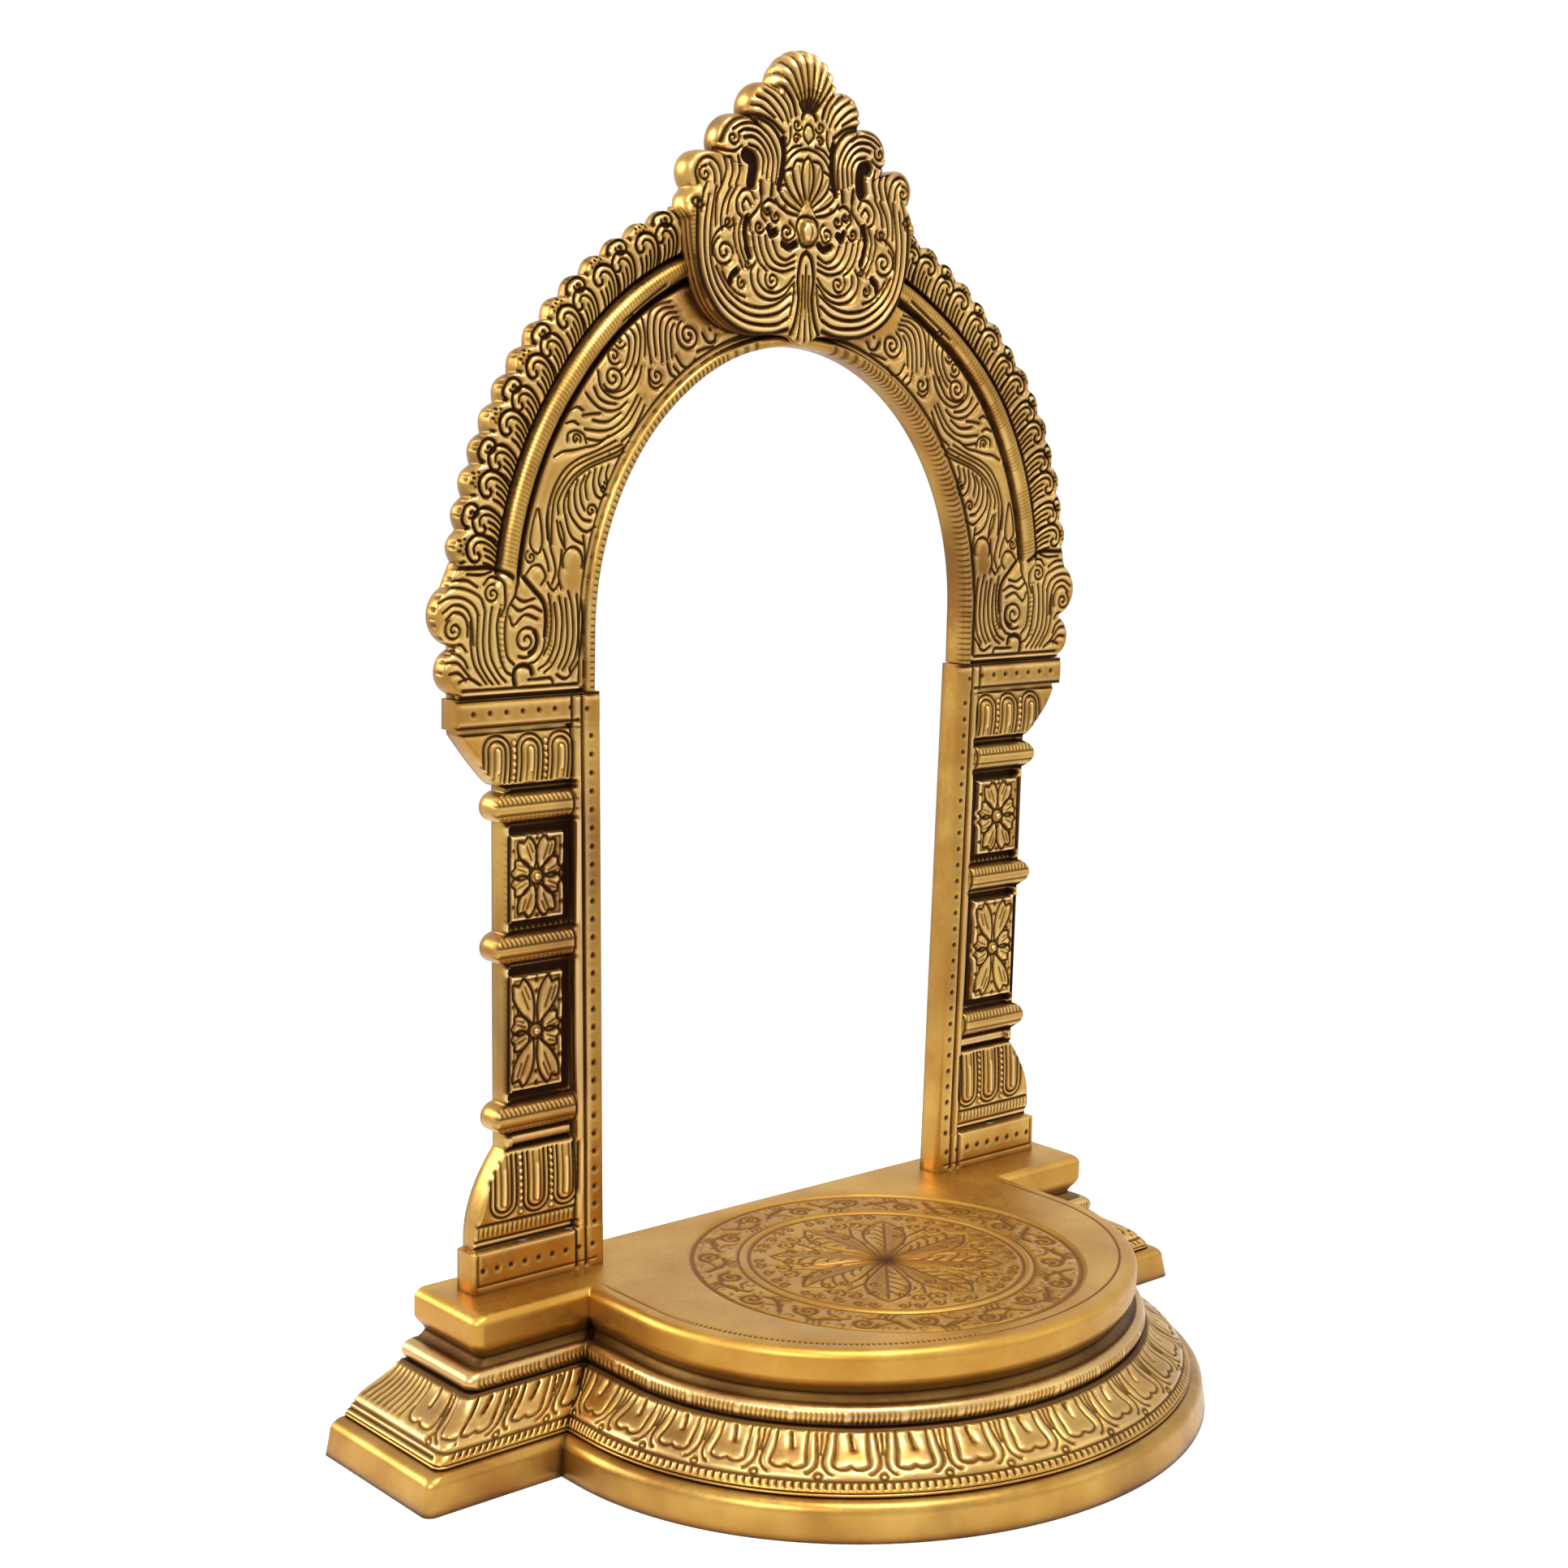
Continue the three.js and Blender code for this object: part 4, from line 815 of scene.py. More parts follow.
def make_arch():
    """The band from its inner to its outer edge, then round the outer wall and the back to the soffit."""
    sheet = Carving(*ARCH_SHEET)
    for draw in (feather_border, roll_marks, soffit_marks, scroll_band, shoulder_marks):
        draw(sheet)
    inner, outer = arch_outline()
    share = np.linspace(0, 1, ARCH_COLUMNS)[None, :, None]
    front = inner[:, None] + (outer - inner)[:, None] * share
    x, z = front[..., 0], front[..., 1]
    relief, dark = sheet.at(x, z)
    width = np.hypot(*(outer - inner).T)[:, None]
    from_inner, from_outer = share[..., 0] * width, (1 - share[..., 0]) * width
    y = arch_level(x, z) - relief * smoothstep(0.0, 0.8, np.minimum(from_inner, from_outer))
    y += edge_round(from_inner, 0.9) + edge_round(from_outer, 1.8)
    around = np.arctan2(z - CREST_POLE, x)
    covered = np.hypot(x, z - CREST_POLE) - crest_reach(around)
    y = np.where(covered < -0.7, np.maximum(y, CREST_SEAT + 0.5), y)
    back_round = 2.4 * smoothstep(-1.2, 0.4, covered[:, -1:])

    def rim(edge, depth):
        return np.stack([edge[:, 0], np.broadcast_to(depth, len(edge)), edge[:, 1]], 1)

    def inset(edge, other, distance):
        return edge + (other - edge) * distance / width

    def down(side, share):
        return y[:, side] + (PLATE_BACK - y[:, side]) * share

    # The grooves near the outer edge run on over the side wall, where the crest leaves it free.
    wrapped = np.clip(dark[:, -8], 0, 1) * smoothstep(-1.2, 0.4, covered[:, -1])
    notched = inset(outer, inner, 0.6 * wrapped[:, None])
    loop = [
        rim(notched, down(-1, 0.12)), rim(notched, down(-1, 0.28)), rim(outer, down(-1, 0.45)),
        *[
            rim(inset(outer, inner, back_round * (1 - math.cos(a))), down(-1, 0.55 + 0.45 * math.sin(a)))
            for a in (0.5, 0.9, 1.25, 1.57)
        ],
        *[rim(outer + (inner - outer) * step, PLATE_BACK) for step in (0.25, 0.5, 0.75)],
        rim(inset(inner, outer, 0.6), PLATE_BACK), rim(inner, down(0, 0.93)), rim(inner, down(0, 0.7)),
        rim(inner, down(0, 0.4)),
    ]
    places = np.concatenate([
        np.stack([x, y, z], -1),
        np.stack(loop, 1),
        np.stack([x[:, :1], y[:, :1], z[:, :1]], -1),
    ], 1)
    patina_and_painted_light = np.zeros(places.shape[:2])
    # Painted shade: the feather border is made darker on its front and on the side wall beside it
    from_border = np.hypot(x, z - ARCH_CENTRE) - BORDER_CIRCLE
    in_border = smoothstep(-0.5, 0.5, from_border) * (z > SHOULDER_TOP)
    columns = x.shape[1]
    patina_and_painted_light[:, :columns] = dark + 0.16 * in_border
    wall = wrapped[:, None] * (0.8, 0.75, 0.3)
    patina_and_painted_light[:, columns:columns + 3] = np.maximum(wall, 0.3 * in_border[:, -1:])
    patina_and_painted_light[:, -1] = patina_and_painted_light[:, 0]
    both_sides("arch", places, patina_and_painted_light, cast, "arch_band", "arch_band")


# Pillars

def stile_at(height):
    """Outer edge of the plain shaft."""
    return STILE_FOOT + (STILE_HEAD - STILE_FOOT) * height / PILLAR_HEIGHT


def jamb_at(height):
    """Inner edge of the pillar."""
    return FOOT_INNER + (HEAD_INNER - FOOT_INNER) * height / PILLAR_HEIGHT


def pillar_edge(height):
    """The pillar's outer edge at each height."""
    edge = stile_at(height)
    for centre in RINGS:
        swell = np.sqrt(np.clip(1 - ((height - centre) / RING_RADIUS) ** 2, 0, 1))
        edge = edge + RING_SWELL * swell
    share = np.clip((height - BELL[0]) / (BELL[1] - BELL[0]), 0, 1)
    edge = np.where(height < BELL[1], stile_at(BELL[1]) + BELL_FLARE * (1 - share**2), edge)
    share = np.clip((height - CAPITAL[0]) / (CAPITAL[1] - CAPITAL[0]), 0, 1)
    capital = stile_at(CAPITAL[0]) + CAPITAL_STEP + CAPITAL_FLARE * share**0.85
    edge = np.where(height > CAPITAL[0], capital, edge)
    edge = np.where(height < FOOT_STRIP, FOOT_OUTER, edge)
    return np.where(height > PILLAR_HEIGHT - HEAD_STRIP, HEAD_OUTER, edge)


def panel(level, x, height, box, depth):
    """Sets the level inside a box of x and height, with soft edges."""
    left, right, foot, head = box
    inside = (
        smoothstep(left - 0.5, left, x) * smoothstep(right + 0.5, right, x)
        * smoothstep(foot - 0.5, foot, height) * smoothstep(head + 0.5, head, height)
    )
    return level * (1 - inside) + depth * inside


def pillar_level(x, height):
    """How far behind the front plane each form of the pillar stands."""
    level = np.full(x.shape, 2.0)
    jamb = x - jamb_at(height)
    for foot, head in PLAQUES:
        level = panel(level, x, height, (*PLAQUE_SIDES, foot, head), 0.8)
    stile = stile_at(height) - x
    level = np.where((stile < 1.7) & (height > BELL[1]) & (height < CAPITAL[0]), 0.5, level)
    share = (x - jamb_at(height) - JAMB_STRIP) / 30
    for foot, head in (BELL, CAPITAL):
        inside = smoothstep(foot - 0.4, foot + 0.3, height) * smoothstep(head + 0.4, head - 0.3, height)
        swell = 0.9 - 0.9 * np.sin(np.pi * np.clip((height - foot) / (head - foot), 0, 1))
        swell = swell + 0.5 * np.clip(share, 0, 1) ** 2
        level = level * (1 - inside) + swell * inside
    for centre in RINGS:
        round_share = np.clip(1 - ((height - centre) / RING_RADIUS) ** 2, 0, 1)
        level = np.where(round_share > 0, np.minimum(level, 2.2 - 3.0 * np.sqrt(round_share)), level)
    flat = smoothstep(JAMB_STRIP + 0.4, JAMB_STRIP, jamb)
    ridge_place = jamb - (JAMB_STRIP - 1.5)
    strip = 0.1 + 0.45 * smoothstep(0.9, 0.4, np.abs(jamb - 5.9)) - 0.3 * np.exp(-(ridge_place / 0.8) ** 2)
    level = level * (1 - flat) + strip * flat
    ends = np.maximum(
        smoothstep(FOOT_STRIP + 0.3, FOOT_STRIP - 0.1, height),
        smoothstep(PILLAR_HEIGHT - HEAD_STRIP - 0.3, PILLAR_HEIGHT - HEAD_STRIP + 0.1, height),
    )
    return level * (1 - ends)


def petal_row(sheet, centres, foot, head, half, upright):
    """U-shaped petals with an inner tongue, side by side, with dots between them."""
    turn = 1 if upright else -1
    for x in centres:
        for kind, inset in (("line", 0), ("line", 1.5), ("fine", 3.1)):
            width = half - inset
            if width < 0.5:
                continue
            bend = (head - inset - width) if upright else (foot + inset + width)
            open_end = foot if upright else head
            sheet.draw(kind, arc(x, bend, width, 0, 180 * turn))
            sheet.draw(kind, straight((x - width, bend), (x - width, open_end)))
            sheet.draw(kind, straight((x + width, bend), (x + width, open_end)))
        sheet.strokes("ridge", ((x, foot + 3), (x, head - 4)))
    for x in list(np.array(centres[:-1]) + np.diff(centres) / 2) + [centres[0] + half + 0.9]:
        for z in np.arange(foot + 1, head - 0.5, 1.9):
            sheet.draw("small_bead", (x, z))


def flower(sheet, cx, cz, half_x, half_z):
    """Eight broad petals that fill a plaque, each with an inner line, round a small boss."""
    for number in range(8):
        angle = math.radians(22.5 + 45 * number)
        cos, sin = math.cos(angle), math.sin(angle)
        tip = min(half_x / abs(cos), half_z / abs(sin)) * 0.94
        wide = 2.2 + 0.06 * tip

        def turned(points):
            return smooth_line([(cx + r * cos - s * sin, cz + r * sin + s * cos) for r, s in points])

        side = [
            (2.4, 0.3), (tip * 0.42, wide * 0.72), (tip * 0.72, wide), (tip * 0.97, wide * 0.66),
            (tip * 0.9, 0),
        ]
        sheet.draw("line", turned(side), turned([(r, -s) for r, s in side]))
        sheet.draw("fine", turned([(tip * 0.45, 0), (tip * 0.8, 0)]))
        sheet.draw("fine", turned([(tip * 0.6, wide * 0.45), (tip * 0.85, wide * 0.4)]))
        between = angle + math.radians(22.5)
        cos, sin = math.cos(between), math.sin(between)
        reach = min(half_x / max(abs(cos), 0.1), half_z / max(abs(sin), 0.1))
        for share in (0.72, 0.93):
            sheet.draw("pit", (cx + share * reach * cos, cz + share * reach * sin))
    sheet.draw("bead", (cx, cz))
    sheet.draw("small_pit", (cx, cz))
    sheet.draw("line", arc(cx, cz, 2.1, 0, 360))


def plaque_marks(sheet, foot, head):
    """A flower within a fine line on a sunk panel, with channels round it and a milled edge beside it."""
    left, right = PLAQUE_SIDES
    low, high = SEAT_TOP + foot, SEAT_TOP + head
    flower(sheet, (left + right) / 2, (low + high) / 2, (right - left) / 2, (high - low) / 2)
    for x in (left - 1.9, left - 3.1):
        sheet.strokes("channel", ((x, low - 2), (x, high + 2)))
    for z in (high + 1.9, low - 1.8):
        sheet.strokes("channel", ((left - 1.5, z), (right, z)))
    sheet.strokes("deep", ((right + 0.9, low), (right + 0.9, high)))
    for x in (left + 0.9, right - 0.9):
        sheet.strokes("fine", ((x, low + 0.9), (x, high - 0.9)))
    for z in (low + 0.9, high - 0.9):
        sheet.strokes("fine", ((left + 0.9, z), (right - 0.9, z)))
    for z in np.arange(low, high, 1.9):
        sheet.strokes("fine", ((right + 1.4, z), (right + 2.6, z)))


def ring_marks(sheet, z):
    """Two lines and slanted ticks on a ring of the pillar, between deep grooves."""
    for x in np.arange(77, 104, 1.5):
        sheet.strokes("fine", ((x, z + 1.5), (x + 0.4, z + 3.2)))
        sheet.strokes("hair", ((x, z - 3.1), (x + 0.4, z - 1.9)))
    for up in (1.1, -1.6):
        sheet.strokes("fine", ((76.5, z + up), (104, z + up)))
    for up in (RING_RADIUS + 0.3, -RING_RADIUS - 0.3):
        sheet.strokes("deep", ((77, z + up), (100, z + up)))


def pillar_marks(sheet):
    """Everything here is drawn in x and z, with z counted from the foot of the throne."""
    for x_foot, x_head in ((71.9, 75.1), (75.2, 78.4)):
        sheet.strokes("line", ((x_foot, SEAT_TOP + 1), (x_head, SPRINGING - 1)))
    for z in np.arange(55, 196, 5.1):
        sheet.draw("pit", (69 + 3.2 * (z - SEAT_TOP) / PILLAR_HEIGHT, z))
    for x in np.arange(79, 112, 5.2):
        sheet.draw("pit", (x, 200.9))
    sheet.draw("pit", (73.6, 200.2))
    for x in np.arange(70, 107, 4.6):
        sheet.draw("pit", (x, 48.6))
    sheet.strokes("line", ((66, 204.2), (115, 204.2)), ((76, 197.2), (115, 197.2)))
    sheet.strokes("fine", ((76, 195.4), (114, 195.4)))
    sheet.strokes("deep", ((77, 180.4), (101, 180.4)), ((77, 80.9), (99, 80.9)))
    sheet.strokes("line", ((75, 54.4), (110, 54.4)), ((75, 56.4), (109.5, 56.4)))
    sheet.strokes("fine", ((69, 44.4), (108.4, 44.4)), ((108.4, 44.4), (108.4, 53)))
    petal_row(sheet, [81.9, 91.8, 102.2], 182, 194.6, 4.2, True)
    petal_row(sheet, [79.2, 89, 99.6], 62, 79, 4.2, False)
    for x in np.arange(76.5, 109, 1.55):
        sheet.strokes("fine", ((x, 57.6), (x, 60.2)))
    sheet.strokes("line", ((75.5, 60.8), (108.6, 60.8)))
    for centre in RINGS:
        ring_marks(sheet, SEAT_TOP + centre)
    for foot, head in PLAQUES:
        plaque_marks(sheet, foot, head)
    for x in np.arange(77.5, 98, 1.9):
        sheet.draw("small_bead", (x, 141.6))


def make_pillars():
    """The front from the inner to the outer edge, then round the side walls and the flat back."""
    sheet = Carving(*PILLAR_SHEET)
    pillar_marks(sheet)
    height = np.linspace(0, PILLAR_TOP, PILLAR_ROWS)
    inner, outer = jamb_at(height), pillar_edge(height)
    share = np.linspace(0, 1, PILLAR_COLUMNS)[None, :]
    x = inner[:, None] + (outer - inner)[:, None] * share
    up = np.broadcast_to(height[:, None], x.shape)
    relief, dark = sheet.at(x, up + SEAT_TOP)
    from_inner = x - inner[:, None]
    from_outer = outer[:, None] - x
    y = pillar_level(x, up) - relief * smoothstep(0, 0.7, np.minimum(from_inner, from_outer))
    y += edge_round(from_inner, 0.7) + edge_round(from_outer, 0.8)

    def column(across, depth):
        return np.stack([across, np.full(len(height), depth), height + SEAT_TOP], 1)

    loop = [
        column(outer, 3.4), column(outer, 5.8), column(outer, 8.1),
        *[column(outer + (inner - outer) * step, PLATE_BACK) for step in (0.014, 0.33, 0.66, 0.986)],
        column(inner, 8.1), column(inner, 5.8), column(inner, 3.4),
    ]
    places = np.concatenate([
        np.stack([x, y, up + SEAT_TOP], -1),
        np.stack(loop, 1),
        np.stack([x[:, :1], y[:, :1], up[:, :1] + SEAT_TOP], -1),
    ], 1)
    patina_and_painted_light = np.zeros(places.shape[:2])
    patina_and_painted_light[:, :x.shape[1]] = dark
    patina_and_painted_light[:, -1] = patina_and_painted_light[:, 0]
    both_sides("pillar", places, patina_and_painted_light, cast, "right_pillar", "left_pillar")


# Crest

def fan_lines(sheet):
    """Nine fluted petals that spread from one foot."""
    for number in range(5):
        lean = FAN_PITCH * number

        def along(reach, turn):
            return (reach * math.sin(turn), FAN_FOOT + reach * math.cos(turn))

        tip = 18.6 - 4.4 * lean**2
        sheet.strokes("ridge", (along(7, lean), along(tip, lean)))
        side = lean + FAN_CUT
        if number < 4:
            sheet.strokes("cut", (along(3.4, side), along(tip - 0.6, side)))
            sheet.strokes("deep", (along(3.4, side), along(8.5, side)))
        sheet.strokes("fine", (along(9, lean), along(tip - 3, lean)))


def crest_leaves(sheet):
    """The curling leaves down each side of the crest, from the fan to the shield."""
    sheet.curves(
        "deep",
        [(5, 362.4), (6.2, 366), (8.8, 369), (11.6, 370.8)],
        [(9.4, 357.2), (13.2, 359.8), (17, 361), (20.6, 361.4)],
        [(9.7, 348), (9.6, 352.5), (11.2, 356.2), (14.4, 359.1), (18.4, 360.3)],
    )
    sheet.curves(
        "cut",
        [(6.6, 361.5), (8.1, 365.2), (11.2, 368), (14.2, 369.6)],
        [(7.7, 360.2), (9.4, 363.4), (12.5, 366.2), (15.8, 368)],
        [(9.8, 360.4), (12.2, 362.8), (15.4, 365.2), (18.4, 366.3)],
        [(12.6, 361), (14.8, 362.2), (17.6, 363.6), (19.8, 363.9)],
        [(11.8, 343.4), (11.2, 349), (12.4, 353.2), (15.4, 356.8),
         (19.6, 358.8), (24, 358.4), (27.4, 356.6)],
        [(13.4, 343.8), (13, 349.6), (14.8, 353.6), (18.6, 356.6), (23, 357), (25.6, 355.8)],
        [(15.2, 344.6), (14.8, 349.6), (16.8, 353.2), (20.2, 355.2), (23.6, 354.8)],
        [(16.8, 345.4), (16.6, 349.6), (18.6, 352.2), (21.8, 353)],
        [(22.4, 360.4), (26, 359.4), (29, 356.8), (30.6, 353.2)],
        [(24.4, 352.4), (26.6, 351), (29, 350.8), (31.4, 351.6)],
        [(25.6, 349.6), (24.9, 345.6), (26.2, 342)],
        [(28.2, 349), (27.4, 345.4), (28.6, 341.6)],
        [(30.6, 349.4), (29.7, 346), (30.4, 343)],
        [(31.4, 341), (31.6, 344.4), (33, 347.2), (35.8, 348.6),
         (38.4, 347.4), (39.8, 344.4), (38.9, 341.4)],
        [(33.6, 342), (34, 344.8), (35.6, 346.8)],
    )
    sheet.volutes("cut", (27.3, 354.4, 2.1, 150, -1.2), (37, 344, 2.2, 100, 1.3))
    sheet.volutes("cut", (39.2, 336.6, 2.1, 200, -1.2))
    sheet.curves("wide_channel", [(22.6, 350.2), (20.6, 349.4), (20, 346.6), (20.6, 343)])
    sheet.curves("channel", [(9.3, 355.4), (9, 351), (9.6, 346), (10.6, 342)])
    sheet.curves("deep", [(13, 343), (13.4, 340)], [(17.4, 343.4), (17, 340)])


def palmette(sheet):
    """Seven leaves over the boss, under a small trefoil."""
    sheet.curves(
        "cut",
        [(0.8, 339.6), (2.2, 345.2), (1.6, 349.6), (0, 351.4)],
        [(1.4, 338.4), (4.6, 343.4), (5.6, 347.4), (4.4, 350), (2, 350.4)],
        [(2, 337.6), (6, 340.8), (8.2, 344), (8.2, 346.8), (6.2, 347.8)],
        [(2.8, 336.4), (6.6, 337.9), (9.6, 340), (10.2, 342.2), (8.6, 343.2)],
        [(3.4, 335.2), (7, 335.8), (10.4, 337.4), (11.8, 339)],
        [(0, 353.6), (3.4, 352.9), (6.4, 350.9), (8.4, 348.2)],
        [(0, 355), (1.9, 357), (1.2, 359.6), (0, 360.4)],
        [(2.6, 354.4), (5.6, 353.6), (8, 351.6)],
        [(6.8, 358.8), (6.9, 355.6), (8.2, 353.4)],
    )
    sheet.strokes(
        "fine", ((0, 340), (0, 350)), ((1.8, 340.4), (3.9, 348.6)), ((3, 339.4), (7, 345.8)),
        ((4.4, 338), (9, 341.6)),
    )
    sheet.volutes("cut", (4.2, 359.8, 1.8, 200, -1.2), (4.4, 356, 1.5, 150, 1.2))
    sheet.draw("deep", arc(0, 361.2, 2.6, 10, 90))


def shield_lines(sheet):
    """Nested ribbons and scrolls that hang from the leaves to the pendant."""
    sheet.curves(
        "deep",
        [(39.2, 337.4), (39.5, 330.9), (39.2, 324), (38, 317.8),
         (35.5, 312.4), (31.3, 307.3), (26, 304), (20, 302.3),
         (12.8, 302.2), (6.6, 303.6)],
    )
    sheet.curves(
        "cut",
        [(35.6, 338.6), (36.9, 330.9), (36.9, 324),
         (35.8, 318.4), (33.3, 313), (28.9, 308.5), (22.7, 305.5),
         (16.3, 304.6), (10.4, 305), (6.3, 306.8)],
        [(33, 341), (34.4, 334.6), (35, 327.8), (34.7, 321.5), (33, 316.5), (30.4, 312.8), (26.7, 309.9),
         (21.9, 307.7), (16.3, 307), (10.2, 308), (5.6, 310.6)],
        [(30.6, 342.6), (32.6, 338.4), (33.2, 334), (33.2, 330.6)],
        [(28, 341), (30.4, 336.8), (31.4, 332.4), (30.8, 329.6)],
        [(25.8, 341.6), (28.2, 338), (29.2, 334)],
        [(32.8, 319.6), (30.6, 316.2), (27.4, 312.8),
         (22.5, 310.2), (16.3, 309.3), (10.4, 310.6), (5.4, 313.6)],
        [(30.6, 318.4), (28.6, 315.6), (25.6, 313.2), (22.2, 312)],
        [(4.8, 316.2), (8.1, 312.9), (12.5, 311.6), (16.9, 312.5),
         (19.6, 315.3), (20.2, 318.8), (18.8, 321.4)],
        [(4.4, 318.2), (7.4, 315.2), (11.2, 313.6), (15, 314.2), (17.6, 316.6), (17.6, 319.4)],
        [(4.4, 324.2), (7.5, 322.8), (10.6, 324), (12.6, 327.6)],
        [(4.4, 322.4), (8.4, 321.2), (12.2, 322.4), (14.6, 325.6), (15.4, 328.8)],
        [(4.4, 320.6), (8.8, 319.5), (13.6, 320.6), (16.4, 324), (17.8, 328.4)],
        [(14.4, 319.4), (17.4, 321.8), (19.2, 325.4), (20, 329.4)],
        [(23.6, 333.6), (24.9, 329.6), (24.2, 325.4), (22.4, 321.6)],
        [(26.2, 331.4), (26.6, 328.2), (25.9, 325.2)],
        [(19.4, 338.6), (21.2, 341), (24, 340.4), (25.8, 337.8), (25.4, 334.8), (23.6, 333.6)],
        [(20.8, 337), (22.3, 338.6), (23.8, 336.9), (23.2, 335.2)],
        [(17.4, 341), (17, 338), (18.6, 335.6), (20.6, 333.4), (20.8, 330)],
        [(12, 338.2), (14.2, 338.8), (16.4, 337.2), (16.8, 334.6), (15.2, 332.8)],
        [(28.4, 331.2), (31.4, 329.8), (34, 326.8), (34, 322.6)],
        [(23.2, 319.8), (24.6, 322.4), (25.6, 324.4)],
        [(36.4, 341.8), (37.6, 338.4), (38.2, 334)],
    )
    sheet.volutes("cut", (29.8, 323.8, 4.2, 60, 1.8), (12.4, 317, 2.7, 30, 1.5))
    sheet.volutes("cut", (7.4, 330.4, 2.9, 110, -1.6), (11.6, 334.4, 1.9, 30, 1.2))
    sheet.volutes("cut", (14.6, 335.8, 1.4, 20, 1.2), (17.6, 331.2, 1.9, 200, -1.3))
    sheet.volutes("cut", (28.6, 331.8, 1.9, 150, -1.3), (21.4, 321, 1.3, 200, -1.1))
    sheet.volutes("cut", (23.4, 315.6, 1.8, 60, 1.2))
    sheet.curves(
        "channel",
        [(21.9, 333.4), (22.7, 329.6), (21.9, 325.6), (20.9, 323)],
        [(25.4, 318.9), (27.2, 317.4), (27.6, 315.6)],
        [(11.6, 330.4), (13.2, 329.4), (14, 331.2)],
        [(4.4, 327.4), (6.6, 326.3), (9, 327.2)],
    )
    sheet.draw("pit", (8.6, 337.4), (31, 319.6), (3.6, 314))
    for z in np.arange(311, 337, 1.15):
        edge = np.interp(z, (311, 321, 329, 337), (36.6, 39.2, 40, 39.6))
        sheet.strokes("fine", ((edge, z), (edge + 1.6, z - 0.3)))


def pendant_and_boss(sheet):
    """The pendant under the boss, the domed boss, and the leaves round it."""
    sheet.curves(
        "deep", [(0, 325.4), (1.9, 323.4), (2.9, 318), (2.5, 312), (3.6, 306), (5.2, 302.6)],
    )
    sheet.curves(
        "cut",
        [(0, 321.4), (0, 312), (0, 300.6)],
        [(1.2, 318.6), (1.2, 311), (1.9, 305), (2.5, 301)],
        [(4.2, 316.6), (4.6, 311.4), (5.6, 307.6)],
    )
    sheet.draw("large_boss", (0, 330.9))
    sheet.strokes("swell", ((0, 329.6), (5, 329.6)))
    sheet.curves(
        "fine",
        [(0, 326.8), (0, 333.8)],
        [(1, 327.2), (2.6, 330.4), (1.9, 333.2)],
        [(2.4, 327), (4.4, 328.6), (4.6, 331.4)],
    )
    sheet.curves(
        "cut", [(0, 335.2), (2.6, 334.6), (3.9, 332.6), (3.6, 329.6), (2, 327.4), (0, 326.8)],
    )


def crest_reach(angle):
    """How far the crest's edge lies from its pole, for angles up from the right-hand side."""
    cos, sin = np.cos(angle), np.sin(angle)
    shield = np.array([
        (0.01, 0.4), (2.6, 1.2), (4.6, 2.6), (9, 3.1), (20, 2.8), (29, 5.4), (35.4, 11.2), (39.1, 20),
        (41.1, 31), (40.8, 41), (29, 50), (19, 60), (10, 68), (0.01, 68),
    ]) + (0, CROWN - CREST_POLE)
    curve = smooth_line(shield)
    towards = np.arctan2(curve[:, 1], curve[:, 0])
    order = np.argsort(towards)
    reach = np.interp(angle, towards[order], np.hypot(*curve.T)[order])
    for cx, cz, radius in CREST_LOBES:
        dz = cz - CREST_POLE
        along = cx * cos + dz * sin
        inside = radius**2 - (cx * cx + dz * dz - along**2)
        far = along + np.sqrt(np.clip(inside, 0, None))
        reach = np.where(inside > 0, np.maximum(reach, far), reach)
    dz = FAN_CENTRE - CREST_POLE
    along = dz * sin
    radius = np.full(angle.shape, FAN_RADIUS)
    for _ in range(3):
        inside = np.clip(radius**2 - (dz * dz - along**2), 0, None)
        far = along + np.sqrt(inside)
        lean = np.arctan2(far * cos, far * sin - (FAN_FOOT - CREST_POLE))
        radius = FAN_RADIUS - 0.45 + 0.45 * np.abs(np.cos(lean * math.pi / FAN_PITCH))
    return np.where(inside > 0, np.maximum(reach, far), reach)


def soften(values, width):
    """A running mean round a closed loop."""
    wrapped = np.concatenate([values[-width:], values, values[:width]])
    return np.convolve(wrapped, np.ones(width) / width, "same")[width:-width]


